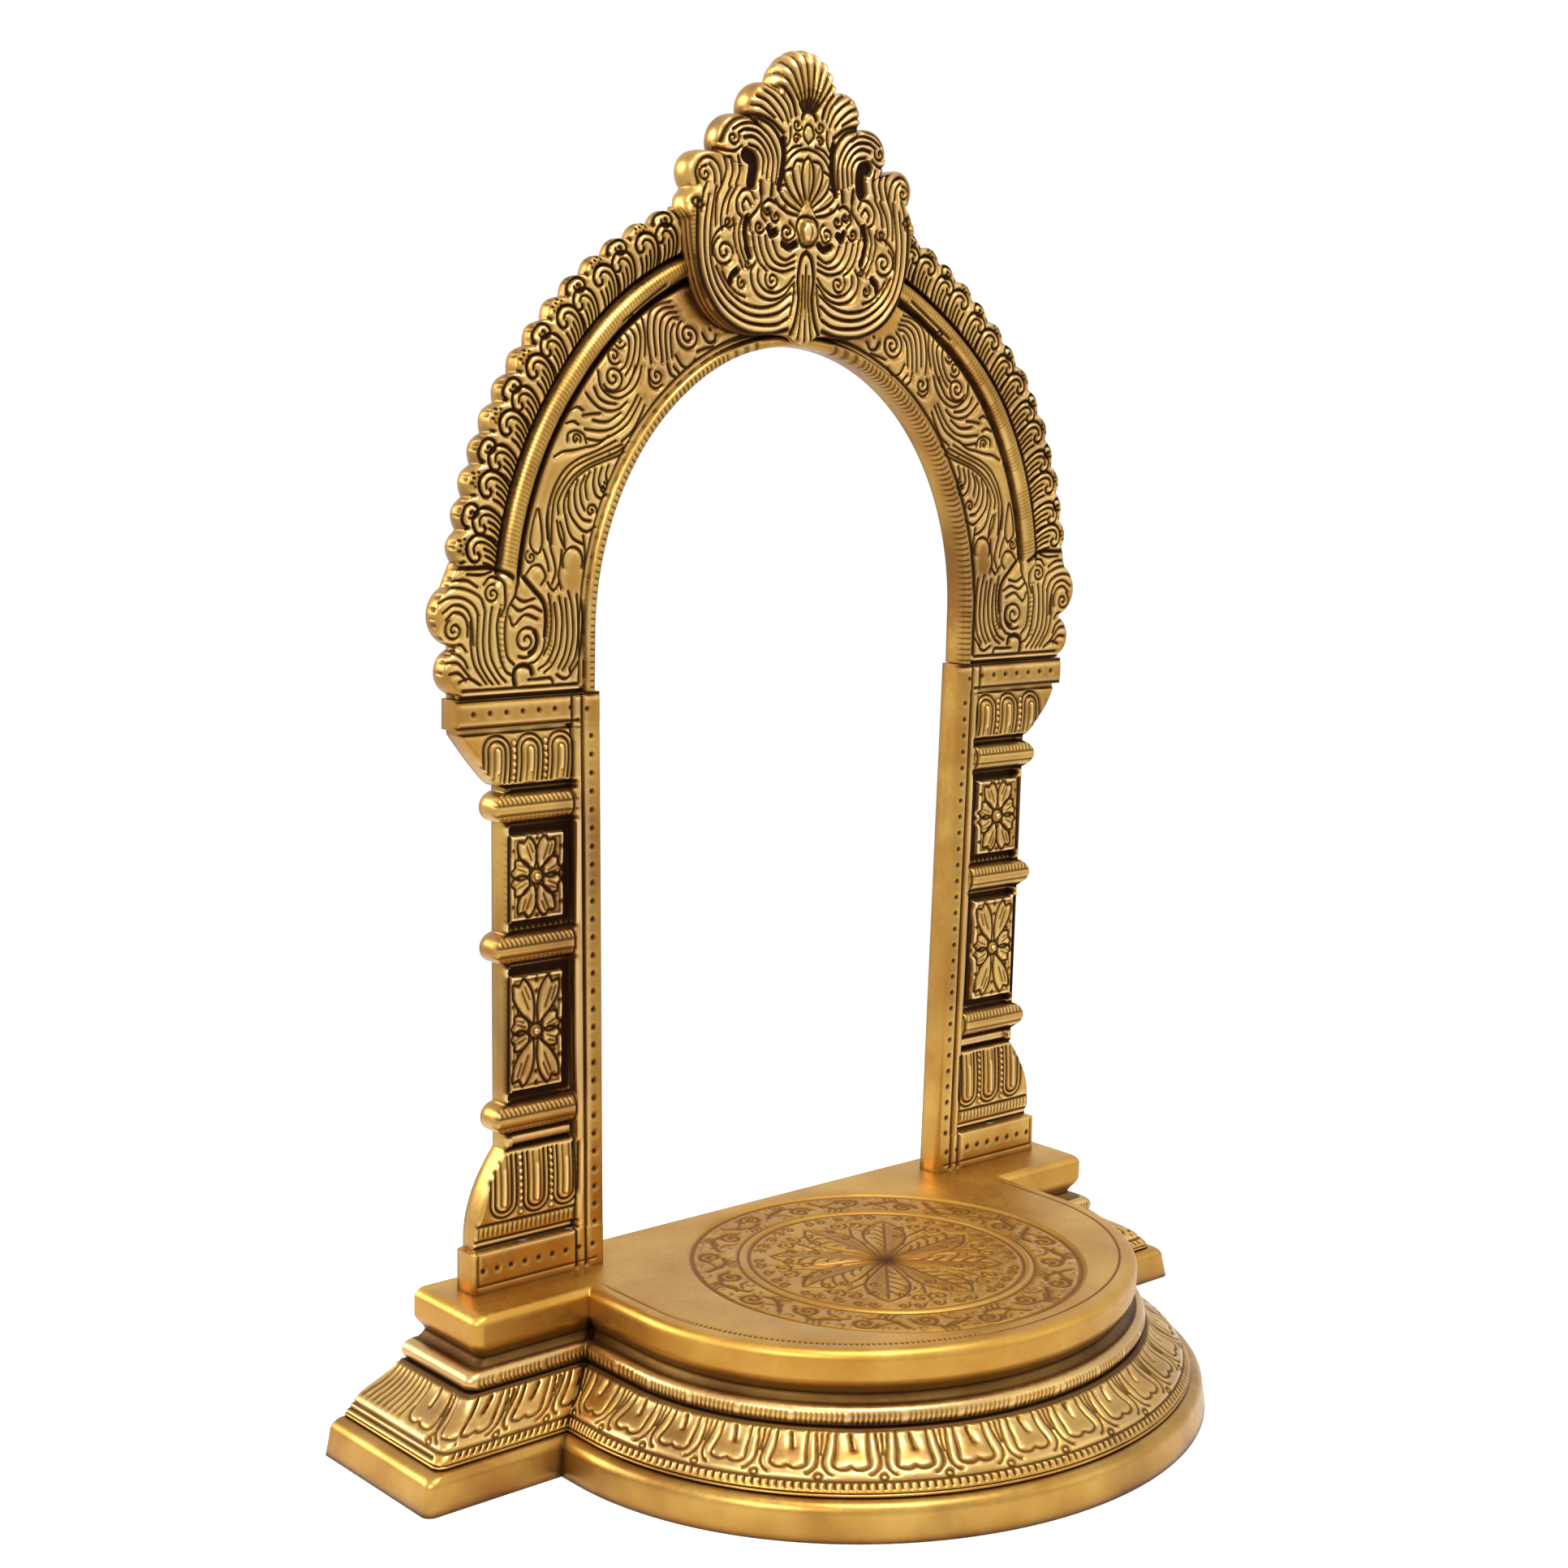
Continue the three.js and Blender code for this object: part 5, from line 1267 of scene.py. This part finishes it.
def make_crest():
    """Rings from the pole out to the edge, over the ribbed side wall, and back to the pole behind."""
    sheet = Carving(*CREST_SHEET)
    for draw in (fan_lines, crest_leaves, palmette, shield_lines, pendant_and_boss):
        draw(sheet)
    right = np.linspace(-math.pi / 2, math.pi / 2, CREST_ROWS)
    angle = np.concatenate([right, math.pi - right[::-1][1:]])
    edge = crest_reach(np.where(angle > math.pi / 2, math.pi - angle, angle))
    cos, sin = np.cos(angle)[:, None], np.sin(angle)[:, None]
    lift = CREST_POLE - ARCH_CENTRE
    seat_circle = ARCH_OUTER + 0.4
    ahead = -lift * np.sin(angle) + np.sqrt(seat_circle**2 - (lift * np.cos(angle)) ** 2)
    # Over the arch the crest is an overlay. Beyond the arch's circle it is as thick as both together.
    inner_reach = np.minimum(ahead, edge)
    over = inner_reach >= edge - 0.01
    thick = soften(np.where(over, 0.0, 1.0), 9)[:, None]
    share = np.linspace(0, 1, CREST_RINGS)[None, :] ** 0.88
    even = soften(edge, 41)[:, None]
    reach = share * even + (edge[:, None] - even) * smoothstep(0.55, 1, share)
    x, z = reach * cos, CREST_POLE + reach * sin
    relief, dark = sheet.at(np.abs(x), z)
    from_edge = edge[:, None] - reach
    fall = np.clip(1 - from_edge / (1.5 + 2.9 * thick), 0, 1)
    y = CREST_FRONT - np.maximum(relief, -2.1) * (0.3 + 0.7 * smoothstep(0, 1.2, from_edge))
    y = y + (2.0 + 3.6 * thick) * (1 - np.sqrt(1 - 0.995 * fall**2))
    back = soften(np.where(over, CREST_SEAT, PLATE_BACK), 13)
    inset = np.minimum(4.4 * thick[:, 0], 0.6 * (edge - inner_reach))

    def spot(reach, depth):
        depth = depth * np.ones(len(angle))
        return np.stack([reach * cos[:, 0], depth, CREST_POLE + reach * sin[:, 0]], 1)

    front_edge = y[:, -1]
    behind = soften(np.where(over, 0.3, 5.2), 13)
    wall = back - behind - front_edge
    ribbed = 1 - thick[:, 0]
    # Share of the wall's depth, millimetres outwards, and darkness
    ribs = [
        (0.06, 0.0, 0), (0.18, -0.45, 0.9), (0.32, 0.1, 0), (0.46, 0.25, 0),
        (0.6, -0.35, 0.9), (0.76, 0.3, 0), (1, 0.4, 0),
    ]
    loop = [
        *[spot(edge + ribbed * out, front_edge + wall * share) for share, out, _ in ribs],
        *[
            spot(edge - inset * (1 - math.cos(a)), back - behind * (1 - math.sin(a)))
            for a in (0.3, 0.6, 0.9, 1.2, 1.571)
        ],
        spot((edge - inset + inner_reach) / 2, back),
        spot(inner_reach, back),
        spot(inner_reach, CREST_SEAT),
        spot(inner_reach * 0.5, CREST_SEAT),
        spot(inner_reach * 0.0, CREST_SEAT),
    ]
    places = np.concatenate([np.stack([x, y, z], -1), np.stack(loop, 1)], 1)
    patina_and_painted_light = np.zeros(places.shape[:2])
    patina_and_painted_light[:, :x.shape[1]] = dark
    for number, (_, _, shade) in enumerate(ribs):
        patina_and_painted_light[:, x.shape[1] + number] = shade * ribbed
    surface("crest_relief", [(places, patina_and_painted_light)], cast, "crest")


# Pedestal and seat

class Plan:
    """Columns round the right half of the plan, from the middle of the back to the middle of the front."""

    BACK, BACK_CORNER, END, CORNER, FRONT, SIDE, ROUND = range(7)

    def __init__(self, spacing):
        lengths = (118, 2, 38, 7, 37, 20, 134)
        steps = (6, 0.5, spacing * 1.2, 0.4, spacing, spacing, spacing)
        counts = [max(4, round(length / step)) for length, step in zip(lengths, steps)]
        sides = [np.full(count, side) for side, count in enumerate(counts)]
        self.side = np.concatenate([*sides, [self.ROUND]])
        self.share = np.concatenate([*[np.arange(count) / count for count in counts], [1.0]])

    def at(self, reach, wall=0.0):
        """X and Y of each column, for a reach beyond the slab and a wall drawn in from there."""
        wing = WING_HALF + reach * WING_END_FLARE - wall
        back = SEAT_BACK + reach * BACK_FLARE - wall
        front = SEAT_FRONT - reach * WING_FRONT_FLARE + wall
        rx, ry = ROUND_HALF + reach - wall, ROUND_DEPTH + reach - wall
        share, quarter = self.share, self.share * math.pi / 2
        sides = [self.side == number for number in range(7)]
        x = np.select(sides, [
            share * (wing - BACK_ROUND), wing - BACK_ROUND * (1 - np.sin(quarter)), wing + 0 * share,
            wing - CORNER_ROUND * (1 - np.cos(quarter)),
            wing - CORNER_ROUND + share * (rx - wing + CORNER_ROUND), rx + 0 * share, rx * np.cos(quarter),
        ])
        y = np.select(sides, [
            back + 0 * share, back - BACK_ROUND * (1 - np.cos(quarter)),
            back - BACK_ROUND + share * (front + CORNER_ROUND - back + BACK_ROUND),
            front + CORNER_ROUND * (1 - np.sin(quarter)), front + 0 * share,
            front + share * (ROUND_CENTRE - front), ROUND_CENTRE - ry * np.sin(quarter),
        ])
        return x, y

    def ring(self, reach, z, wall=0.0):
        """The whole ring, closed, as rows of places."""
        x, y = self.at(reach, wall)
        return mirrored(np.stack([x, y, z + 0 * x], 1))

    def painted_crease_shade(self):
        """Painted shade of each column near the inner corner between the wing and the round."""
        x, y = self.at(0)
        return whole(0.85 * np.exp(-(((x - ROUND_HALF) ** 2 + (y - SEAT_FRONT) ** 2) / 2.2)))

    def petal_place(self):
        """Where each column lies across its petal. The wings' ends and the plain back have their own."""
        x, y = self.at(PETAL_REACH)
        from_round = x - ROUND_HALF - PETAL_REACH - PETAL_PITCH / 2
        from_corner = (self.side == self.FRONT) * from_round / PETAL_PITCH
        down_side = (self.side == self.SIDE) * (y - ROUND_CENTRE) / PETAL_PITCH
        round_front = (self.side == self.ROUND) * self.share * ROUND_PETALS / 2
        place = ((from_corner + down_side + round_front) % 1 - 0.5) * PETAL_PITCH
        place = np.where(self.side == self.CORNER, 13.0, place)
        on_end = self.side == self.END
        place = np.where(on_end, WING_END_SHEET + (y - y[on_end].min()), place)
        return np.where(self.side <= self.BACK_CORNER, PLAIN_SHEET, place)


def whole(half):
    """Values of the right half, followed by the same for the left."""
    return np.concatenate([half, half[::-1][1:]])


def mirrored(half):
    """Places of the right half, followed by their mirror images."""
    return np.concatenate([half, half[::-1][1:] * (-1, 1, 1)])


def evenly(points, spacing):
    """Points along a broken line, evenly spaced, with the distance from its start."""
    points = np.array(points, float)
    along = np.concatenate([[0], np.cumsum(np.hypot(*np.diff(points, axis=0).T))])
    place = np.linspace(0, along[-1], max(2, round(along[-1] / spacing)) + 1)
    return np.stack([np.interp(place, along, points[:, k]) for k in (0, 1)] + [place], 1)


def sweep(plan, line, sheet, sheet_from=None, dark=-1.0, wear_and_painted_light=0.0):
    """Rows of places along a profile of height, reach and distance, with relief from the sheet.

    Dark is the least darkness of the rows, which paints shade; the last argument is added to it, below zero
    as a painted highlight and above zero as a darkening.
    """
    line = np.array(line, float)
    slope = np.gradient(line[:, :2], axis=0)
    normal = np.stack([-slope[:, 1], slope[:, 0]], 1) / np.maximum(np.hypot(*slope.T), 1e-6)[:, None]
    across, painted_crease_shade = plan.petal_place(), plan.painted_crease_shade()
    rows, patina_and_painted_light = [], []
    for (z, reach, along), (lift, out) in zip(line, normal):
        relief, shade = 0 * across, 0 * across
        if sheet_from is not None:
            relief, shade = sheet.at(across, 0 * across + sheet_from + along)
        x, y = plan.at(reach + relief * out)
        rows.append(mirrored(np.stack([x, y, z + relief * lift], 1)))
        # Painted shade near the inner corner, below CREASE_TOP
        patina_and_painted_light.append(np.maximum(whole(shade), dark) + wear_and_painted_light + painted_crease_shade * (z < CREASE_TOP))
    return np.array(rows), np.array(patina_and_painted_light)


def lotus_petals(sheet):
    """Engraved petals and the milled band under them. The second axis runs up the slope from the band."""
    cup = [(4.1, 14.2), (4.15, 9.5), (4.5, 6.2), (4.3, 4.9), (3.2, 4.1), (1.6, 3.9), (0.5, 4.4), (0, 4.7)]
    cup += [(-x, w) for x, w in reversed(cup[:-1])]
    rim = [(6.2, 14.0), (6.7, 10.4), (7.1, 7), (6.7, 4.6), (5.6, 2.9), (4.7, 2.4)]
    for middle in (-PETAL_PITCH, 0, PETAL_PITCH):
        for points, flip in ((cup, 1), (rim, 1), (rim, -1)):
            sheet.curves("engraved", [(middle + flip * x, w) for x, w in points])
        sheet.strokes("line", ((middle - 0.4, 13.6), (middle + 0.4, 9.8)))
        between = middle + PETAL_PITCH / 2
        sheet.strokes("engraved", ((between, 13.8), (between, 8.4)))
        sheet.draw("engraved", arc(between, 1.7, 0.85, 0, 360))
    for up in (0.5, 14.6):
        sheet.strokes("engraved", ((-9, up), (PLAIN_SHEET, up)))
    for number in range(-5, 6):
        place = number * PETAL_PITCH / 8
        sheet.strokes("engraved", ((place, 0.3), (place + 0.1, -1.3)))
    for number in (-5, -4, -3, -2, 0, 1, 2, 3, 4, 5):
        place = number * PETAL_PITCH / 11
        sheet.strokes("fine", ((place, TORUS_SHEET + 1.6), (place + 0.3, TORUS_SHEET + 4.2)))


def wing_end_marks(sheet):
    """One petal near the front of each wing's end, then a row of upright lines."""
    cup = [
        (24.2, 14), (24, 9), (24.4, 5.4), (26, 3.9), (28.6, 3.8),
        (30, 4.6), (31.4, 3.8), (33.4, 4), (34.8, 6), (35, 14),
    ]
    sheet.curves("engraved", cup, [(22, 14), (21.8, 8), (22.4, 4.6), (24, 2.6)])
    sheet.strokes("line", ((29.6, 14), (29.8, 9)))
    for place in np.arange(37.2, 56, 2.3):
        sheet.curves("engraved", [(place, 14), (place - 0.3, 8), (place + 0.3, 3.6)])
    sheet.strokes("engraved", ((WING_END_SHEET, -1.2), (PLAIN_SHEET, -1.2)))


def make_plinth():
    """The plain foot, rounded over, with a fillet on top. Profiles are height and reach, in millimetres."""
    coarse = Plan(0.8)
    edge = [(6.6 + 3.4 * math.sin(a), 16.7 + 3.35 * math.cos(a)) for a in np.linspace(0, math.pi / 2, 9)]
    outer = [(0, 20.7), (0.25, 21), (2.4, 20.7), (4.6, 20.35), *edge, (10.05, 16.3), (9.95, 15.9)]
    fillet = [(10.2, 16.2), (10.45, 16.55), (10.8, 16.5), (11.05, 16.1), (11.1, 15.6), (11.0, 15.2)]
    # The whole plinth is made a little darker.
    rows, patina_and_painted_light = sweep(coarse, [(z, reach, 0) for z, reach in outer + fillet], None, wear_and_painted_light=0.06)
    patina_and_painted_light[len(outer) - 2:len(outer)] = 0.9
    patina_and_painted_light[-2:] = 0.9
    inner = [
        (11.0, 15.0, WALL - 1.4), (11.0, 15.0, WALL), (6.6, 20, WALL), (0.3, 21, WALL),
        (0, 21, WALL - 0.3), (0, 21, 0.6), (0, 20.7, 0),
    ]
    loop = np.array([coarse.ring(reach, z, wall) for z, reach, wall in inner])
    places = np.concatenate([rows, loop, rows[:1]])
    patina_and_painted_light = np.concatenate([patina_and_painted_light, np.zeros(loop.shape[:2]), patina_and_painted_light[:1]])
    surface("pedestal_plinth", [(places, patina_and_painted_light)], cast, "pedestal_shell")


def make_moulding():
    """Milled band, slope with the lotus petals, gap, torus and neck."""
    sheet = Carving(*PEDESTAL_SHEET)
    lotus_petals(sheet)
    wing_end_marks(sheet)
    fine = Plan(0.41)
    band = evenly([(11.05, 15.2), (11.15, 16.0), (11.4, 16.25), (12.2, 15.75), (13.4, 14.85)], 0.36)
    share = np.linspace(0, 1, 41)
    slope = evenly(np.stack([
        13.5 + 9.1 * share, 14.75 - 10.85 * share + 0.7 * np.sin(2 * math.pi * share),
    ], 1), 0.38)
    turn = np.radians(np.linspace(-66, 84, 14))
    torus = np.stack([
        TORUS_LEVEL + TORUS_RADIUS * np.sin(turn), TORUS_REACH + TORUS_RADIUS * np.cos(turn),
        TORUS_RADIUS * (turn - turn[0]),
    ], 1)
    gap = [(22.7, 3.3, 0), (22.75, 2.4, 0), (22.75, 1.6, 0)]
    neck = [
        (28.1, 0.2, 0), (28.12, -0.4, 0), (28.2, -0.8, 0), (28.45, -1.2, 0),
        (28.8, -1.6, 0), (29.3, -2.1, 0), (29.98, -2.5, 0), (30, -2.8, 0),
    ]
    # Painted highlight: the petal slope and the torus are made paler. Painted shade: the gap between the
    # slope and the torus, and the neck under the slab, are made dark.
    parts = [
        sweep(fine, band, sheet, -band[-1, 2]),
        sweep(fine, slope, sheet, 0.3, wear_and_painted_light=-0.12),
        sweep(fine, gap, None, dark=0.75),
        sweep(fine, torus, sheet, TORUS_SHEET, wear_and_painted_light=-0.32),
        sweep(fine, neck, None, dark=0.65),
    ]
    parts[0][1][:1] = 0.9
    inner = [
        (26, -2.6, WALL + 0.3), (26, -2.6, WALL), (22.6, -2.6, WALL), (14.6, 13.2, WALL),
        (11.05, 15.2, WALL), (11.05, 15.2, WALL - 1.4),
    ]
    loop = np.array([fine.ring(reach, z, wall) for z, reach, wall in inner])
    places = np.concatenate([loop, *[rows for rows, _ in parts]])
    patina_and_painted_light = np.concatenate([np.zeros(loop.shape[:2]), *[shade for _, shade in parts]])
    surface("pedestal_moulding", [(places, patina_and_painted_light)], cast, "pedestal_shell")


def medallion_marks():
    """The engraved roundel: a ring of scrolls round eight two-sided petals on a stippled ground."""
    low, high = MEDALLION_CENTRE - MEDALLION_SHEET, MEDALLION_CENTRE + MEDALLION_SHEET
    sheet = Carving((-MEDALLION_SHEET, low), (MEDALLION_SHEET, high))
    for kind, radius in (("deep", MEDALLION_RADIUS), ("cut", 42.4), ("cut", 39.3), ("ridge", 40.9)):
        sheet.draw(kind, arc(0, MEDALLION_CENTRE, radius, 0, 360))

    def turned(points, angle):
        points = np.array(points, float)
        cos, sin = math.cos(angle), math.sin(angle)
        return np.stack([
            points[:, 0] * cos - points[:, 1] * sin,
            MEDALLION_CENTRE + points[:, 0] * sin + points[:, 1] * cos,
        ], 1)

    for number in range(18):
        angle = 2 * math.pi * number / 18
        hand = 1 if number % 2 else -1
        eye = 48.6 + 1.6 * hand
        sheet.draw("deep", turned(spiral(eye, 0, 3.6, 90 * hand, 1.5 * hand), angle))
        sheet.draw("deep", turned(smooth_line([
            (eye - 3.6 * hand, 1), (eye - 4.4 * hand, 4.6), (eye - 2.4 * hand, 8.4), (eye + 0.6 * hand, 12),
        ]), angle))
        sheet.draw("line", turned(smooth_line([(53.4, 3.4), (50.4, 5.2), (48.6, 8), (49.4, 11)]), angle))
        sheet.draw("line", turned(smooth_line([(44, 4.8), (46.4, 6.4), (47, 9.2)]), angle))
        for side in (2.6, 4.4, 6.2):
            sheet.draw("line", turned(straight((49 - hand * 3, side), (49 - hand * 6, side + 1.4)), angle))
        sheet.draw("small_pit", turned([(52.6, 9), (45, 11.6), (53.4, -5.4)], angle))
        for place, side in ((53.2, 6.2), (52.4, 12.6), (44.2, 8), (44.6, 14.4), (53.4, -2.4), (43.9, 2.2)):
            sheet.draw("fine", turned(arc(place, side, 1.1, 40 * number, 40 * number + 250), angle))
    lean, half_turn = math.radians(3), math.radians(22.5)
    for number in range(8):
        angle = math.radians(45 * number) + lean
        for flip in (1, -1):
            side = smooth_line([(reach, flip * half) for reach, half in MEDALLION_LEAF])
            sheet.draw("cut", turned(side, angle))
        sheet.draw("line", turned(straight((5, 0), (31, 0)), angle))
        sheet.draw("swell", turned(smooth_line([(8, 1.4), (18, 2.6), (27, 1.8)]), angle))
        for reach in np.arange(6, 31, 1.05):
            half = np.interp(reach, *zip(*MEDALLION_LEAF))
            sheet.draw("fine", turned(straight((reach - 1, -0.5), (reach + 0.6, 0.4 - half)), angle))
        for reach in (10, 14, 18, 22, 26):
            half = np.interp(reach, *zip(*MEDALLION_LEAF))
            vein = smooth_line([(reach, 0.4), (reach + 2.4, half * 0.5), (reach + 3, half - 0.8)])
            sheet.draw("line", turned(vein, angle))
        between = angle + half_turn
        for side, hand in ((2.4, 1), (-3.2, -1)):
            sheet.draw("cut", turned(spiral(30.6, side, 3, -60 * hand, 1.3 * hand), between))
        sheet.draw("line", turned(smooth_line([(14, 0), (20, 1.6), (25, 0.4), (28, -0.4)]), between))
        for reach, side in (
            (20, 4.4), (23, -3.2), (26.5, 6.4), (27, -6.8),
            (35.6, 0), (35.4, 6), (35.6, -6), (34.6, 10), (34.6, -10),
        ):
            sheet.draw("line", turned(spiral(reach, side, 1.9, 20 * number, 1.1), between))
    spots = np.random.default_rng(7).uniform(-38, 38, (1900, 2))
    distance = np.hypot(*spots.T)
    beside = (np.arctan2(spots[:, 1], spots[:, 0]) - lean) % (2 * half_turn) - half_turn
    free = np.abs(beside) < half_turn - 5.4 / np.maximum(distance, 1)
    ground = (distance < 37.8) & (distance > 12) & free
    sheet.draw("stipple", spots[ground] + (0, MEDALLION_CENTRE))
    return sheet


def make_seat():
    """The slab from its neck over the rounded edge to the rim, and the disc with the medallion."""
    fine = Plan(0.5)
    cove = evenly(smooth_line([(30.1, -2.55), (31.4, -2.0), (32.8, -0.9), (33.9, -0.25), (34.6, 0)]), 0.7)
    edge = [(39.4 + 2.8 * math.sin(a), -2.8 * (1 - math.cos(a))) for a in np.linspace(0, math.pi / 2, 9)]
    side = evenly([(35.2, 0), (39.1, 0)], 0.8)
    top = [(SEAT_TOP, -3.6, 0), (SEAT_TOP, -4.2, 0)]
    rise = [(30, -3.0, 0), *cove, *side, *[(z, reach, 0) for z, reach in edge], *top]
    rows, patina_and_painted_light = sweep(fine, rise, None)
    # Painted shade: the cove under the slab is made much darker, and the slab's side below 40 mm a little
    # darker.
    patina_and_painted_light += 0.1 * (rows[..., 2] < 40) + 0.5 * smoothstep(33.6, 31.0, rows[..., 2])
    x, y = fine.at(-5)
    along = np.concatenate([[0], np.cumsum(np.hypot(np.diff(x), np.diff(y)))])
    on_front = whole(smoothstep(0, 12, along - along[fine.side == fine.SIDE].min()))
    full_x = np.concatenate([x, -x[::-1][1:]])
    milled = smoothstep(MILLED_FROM, MILLED_FROM + 4, full_x) * smoothstep(MILLED_TO, MILLED_TO - 6, full_x)
    milled *= on_front
    full_along = np.concatenate([along, 2 * along[-1] - along[::-1][1:]])
    ticks = 0.5 + 0.5 * np.cos(2 * math.pi * full_along / MILLED_PITCH)
    # The line engraved round the front of the rim, and the milled stretch of it
    rim_rows, rim_patina = [], []
    for reach in np.arange(-4.5, -6.9, -0.28):
        line = np.exp(-((reach + 5.1) / 0.3) ** 2) * on_front
        bead = milled * smoothstep(-6.6, -6.2, reach) * smoothstep(-4.9, -5.3, reach)
        drop = 0.3 * line * (1 - milled) + 0.4 * bead * (1 - ticks)
        rim_rows.append(fine.ring(reach, SEAT_TOP) - np.stack([0 * drop, 0 * drop, drop], 1))
        rim_patina.append(np.maximum(0.8 * line * (1 - milled), bead * (1 - ticks) ** 2))
    places = np.concatenate([rows, rim_rows, [fine.ring(-7.1, SEAT_TOP)]])
    patina_and_painted_light = np.concatenate([patina_and_painted_light, rim_patina, np.zeros((1, places.shape[1]))])

    sheet = medallion_marks()
    angle = np.linspace(0, 2 * math.pi, DISC_COLUMNS)
    reach = np.concatenate([[MEDALLION_DISC], np.linspace(57.0, 54.4, 9), np.linspace(54.0, 0, 98)])
    disc_x = reach[:, None] * np.cos(angle)
    disc_y = MEDALLION_CENTRE + reach[:, None] * np.sin(angle)
    relief, dark = sheet.at(disc_x, disc_y)
    inside = smoothstep(57.2, 56.6, reach)[:, None]
    dark = np.maximum(dark, 1.5 * np.exp(-(reach / 7) ** 2)[:, None])
    ground = 0.07 * smoothstep(55, 53, reach)[:, None]
    disc = np.stack([disc_x, disc_y, SEAT_TOP + np.minimum(relief * 0.55 - 0.22, 0) * inside], -1)
    disc_patina = (0.55 * dark + ground) * inside
    surface("seat_slab", [(places, patina_and_painted_light), (disc, disc_patina)], seat, "seat_plate")


make_arch()
make_pillars()
make_crest()
make_plinth()
make_moulding()
make_seat()


# Studio

def make_camera():
    """The photograph's camera, aimed at the throne and turned by its roll."""
    back = Vector((
        math.sin(CAMERA_AZIMUTH) * math.cos(CAMERA_ELEVATION),
        -math.cos(CAMERA_AZIMUTH) * math.cos(CAMERA_ELEVATION),
        math.sin(CAMERA_ELEVATION),
    ))
    right = Vector((0, 0, 1)).cross(back).normalized()
    up = back.cross(right)
    turned_right = right * math.cos(CAMERA_ROLL) + up * math.sin(CAMERA_ROLL)
    turned_up = up * math.cos(CAMERA_ROLL) - right * math.sin(CAMERA_ROLL)
    place = Vector(CAMERA_TARGET) + back * CAMERA_DISTANCE
    data = bpy.data.cameras.new("photo_camera")
    data.sensor_fit = "HORIZONTAL"
    data.sensor_width = SENSOR_WIDTH
    data.lens = FOCAL_PIXELS / PHOTO_WIDTH * SENSOR_WIDTH
    camera = bpy.data.objects.new("photo_camera", data)
    camera.matrix_world = Matrix((
        (turned_right.x, turned_up.x, back.x, place.x),
        (turned_right.y, turned_up.y, back.y, place.y),
        (turned_right.z, turned_up.z, back.z, place.z),
        (0, 0, 0, 1),
    ))
    bpy.context.collection.objects.link(camera)
    bpy.context.scene.camera = camera


def seen_rays(tree):
    """One for rays that see the backdrop: straight from the camera, or through or off something."""
    path = add_node(tree, "ShaderNodeLightPath")
    seen = path.outputs["Is Camera Ray"]
    for name in ("Is Glossy Ray", "Is Transmission Ray"):
        inputs = {0: seen, 1: path.outputs[name]}
        seen = add_node(tree, "ShaderNodeMath", inputs, operation="MAXIMUM").outputs["Value"]
    return seen


def make_floor():
    """A pale floor that fades to the white of the backdrop away from the throne."""
    bpy.ops.mesh.primitive_plane_add(size=FLOOR_SIZE, location=(0, 0, 0))
    floor = bpy.context.object
    floor.name = "studio_floor"
    material = bpy.data.materials.new("studio_floor")
    material.use_nodes = True
    tree = material.node_tree
    shader = tree.nodes["Principled BSDF"]
    shader.inputs["Base Color"].default_value = (0.9, 0.9, 0.9, 1)
    shader.inputs["Roughness"].default_value = 0.8
    shader.inputs["Specular IOR Level"].default_value = 0.1
    place = add_node(tree, "ShaderNodeTexCoord").outputs["Object"]
    length = add_node(tree, "ShaderNodeVectorMath", {0: place}, operation="LENGTH").outputs["Value"]
    inputs = {"Value": length, "From Min": FADE_FROM, "From Max": FADE_TO}
    fade = add_node(tree, "ShaderNodeMapRange", inputs, interpolation_type="SMOOTHSTEP").outputs["Result"]
    inputs = {0: fade, 1: seen_rays(tree)}
    share = add_node(tree, "ShaderNodeMath", inputs, operation="MULTIPLY").outputs["Value"]
    white = add_node(tree, "ShaderNodeEmission", {"Strength": 1}).outputs["Emission"]
    mix = add_node(tree, "ShaderNodeMixShader", {"Fac": share, 1: shader.outputs["BSDF"], 2: white})
    tree.links.new(mix.outputs["Shader"], tree.nodes["Material Output"].inputs["Surface"])
    floor.data.materials.append(material)


def make_lamp(name, place, size, power):
    """A square soft lamp, aimed at the middle of the throne."""
    data = bpy.data.lights.new(name, "AREA")
    data.energy = power
    data.size = size
    lamp = bpy.data.objects.new(name, data)
    lamp.location = place
    aim = Vector(LAMP_TARGET) - Vector(place)
    lamp.rotation_euler = aim.to_track_quat("-Z", "Y").to_euler()
    bpy.context.collection.objects.link(lamp)


def make_light():
    """The lamps, and a white world that lights the throne a little less than it shines behind it."""
    for name, (place, size, power) in LAMPS.items():
        make_lamp(name, place, size, power)
    world = bpy.data.worlds.new("studio")
    bpy.context.scene.world = world
    world.use_nodes = True
    tree = world.node_tree
    shade = tree.nodes["Background"]
    shade.inputs["Color"].default_value = (1, 1, 1, 1)
    inputs = {"Value": seen_rays(tree), "To Min": BACKDROP_LIGHT, "To Max": 1}
    strength = add_node(tree, "ShaderNodeMapRange", inputs).outputs["Result"]
    tree.links.new(strength, shade.inputs["Strength"])


make_camera()
make_floor()
make_light()
bpy.context.scene.view_settings.view_transform = "Standard"
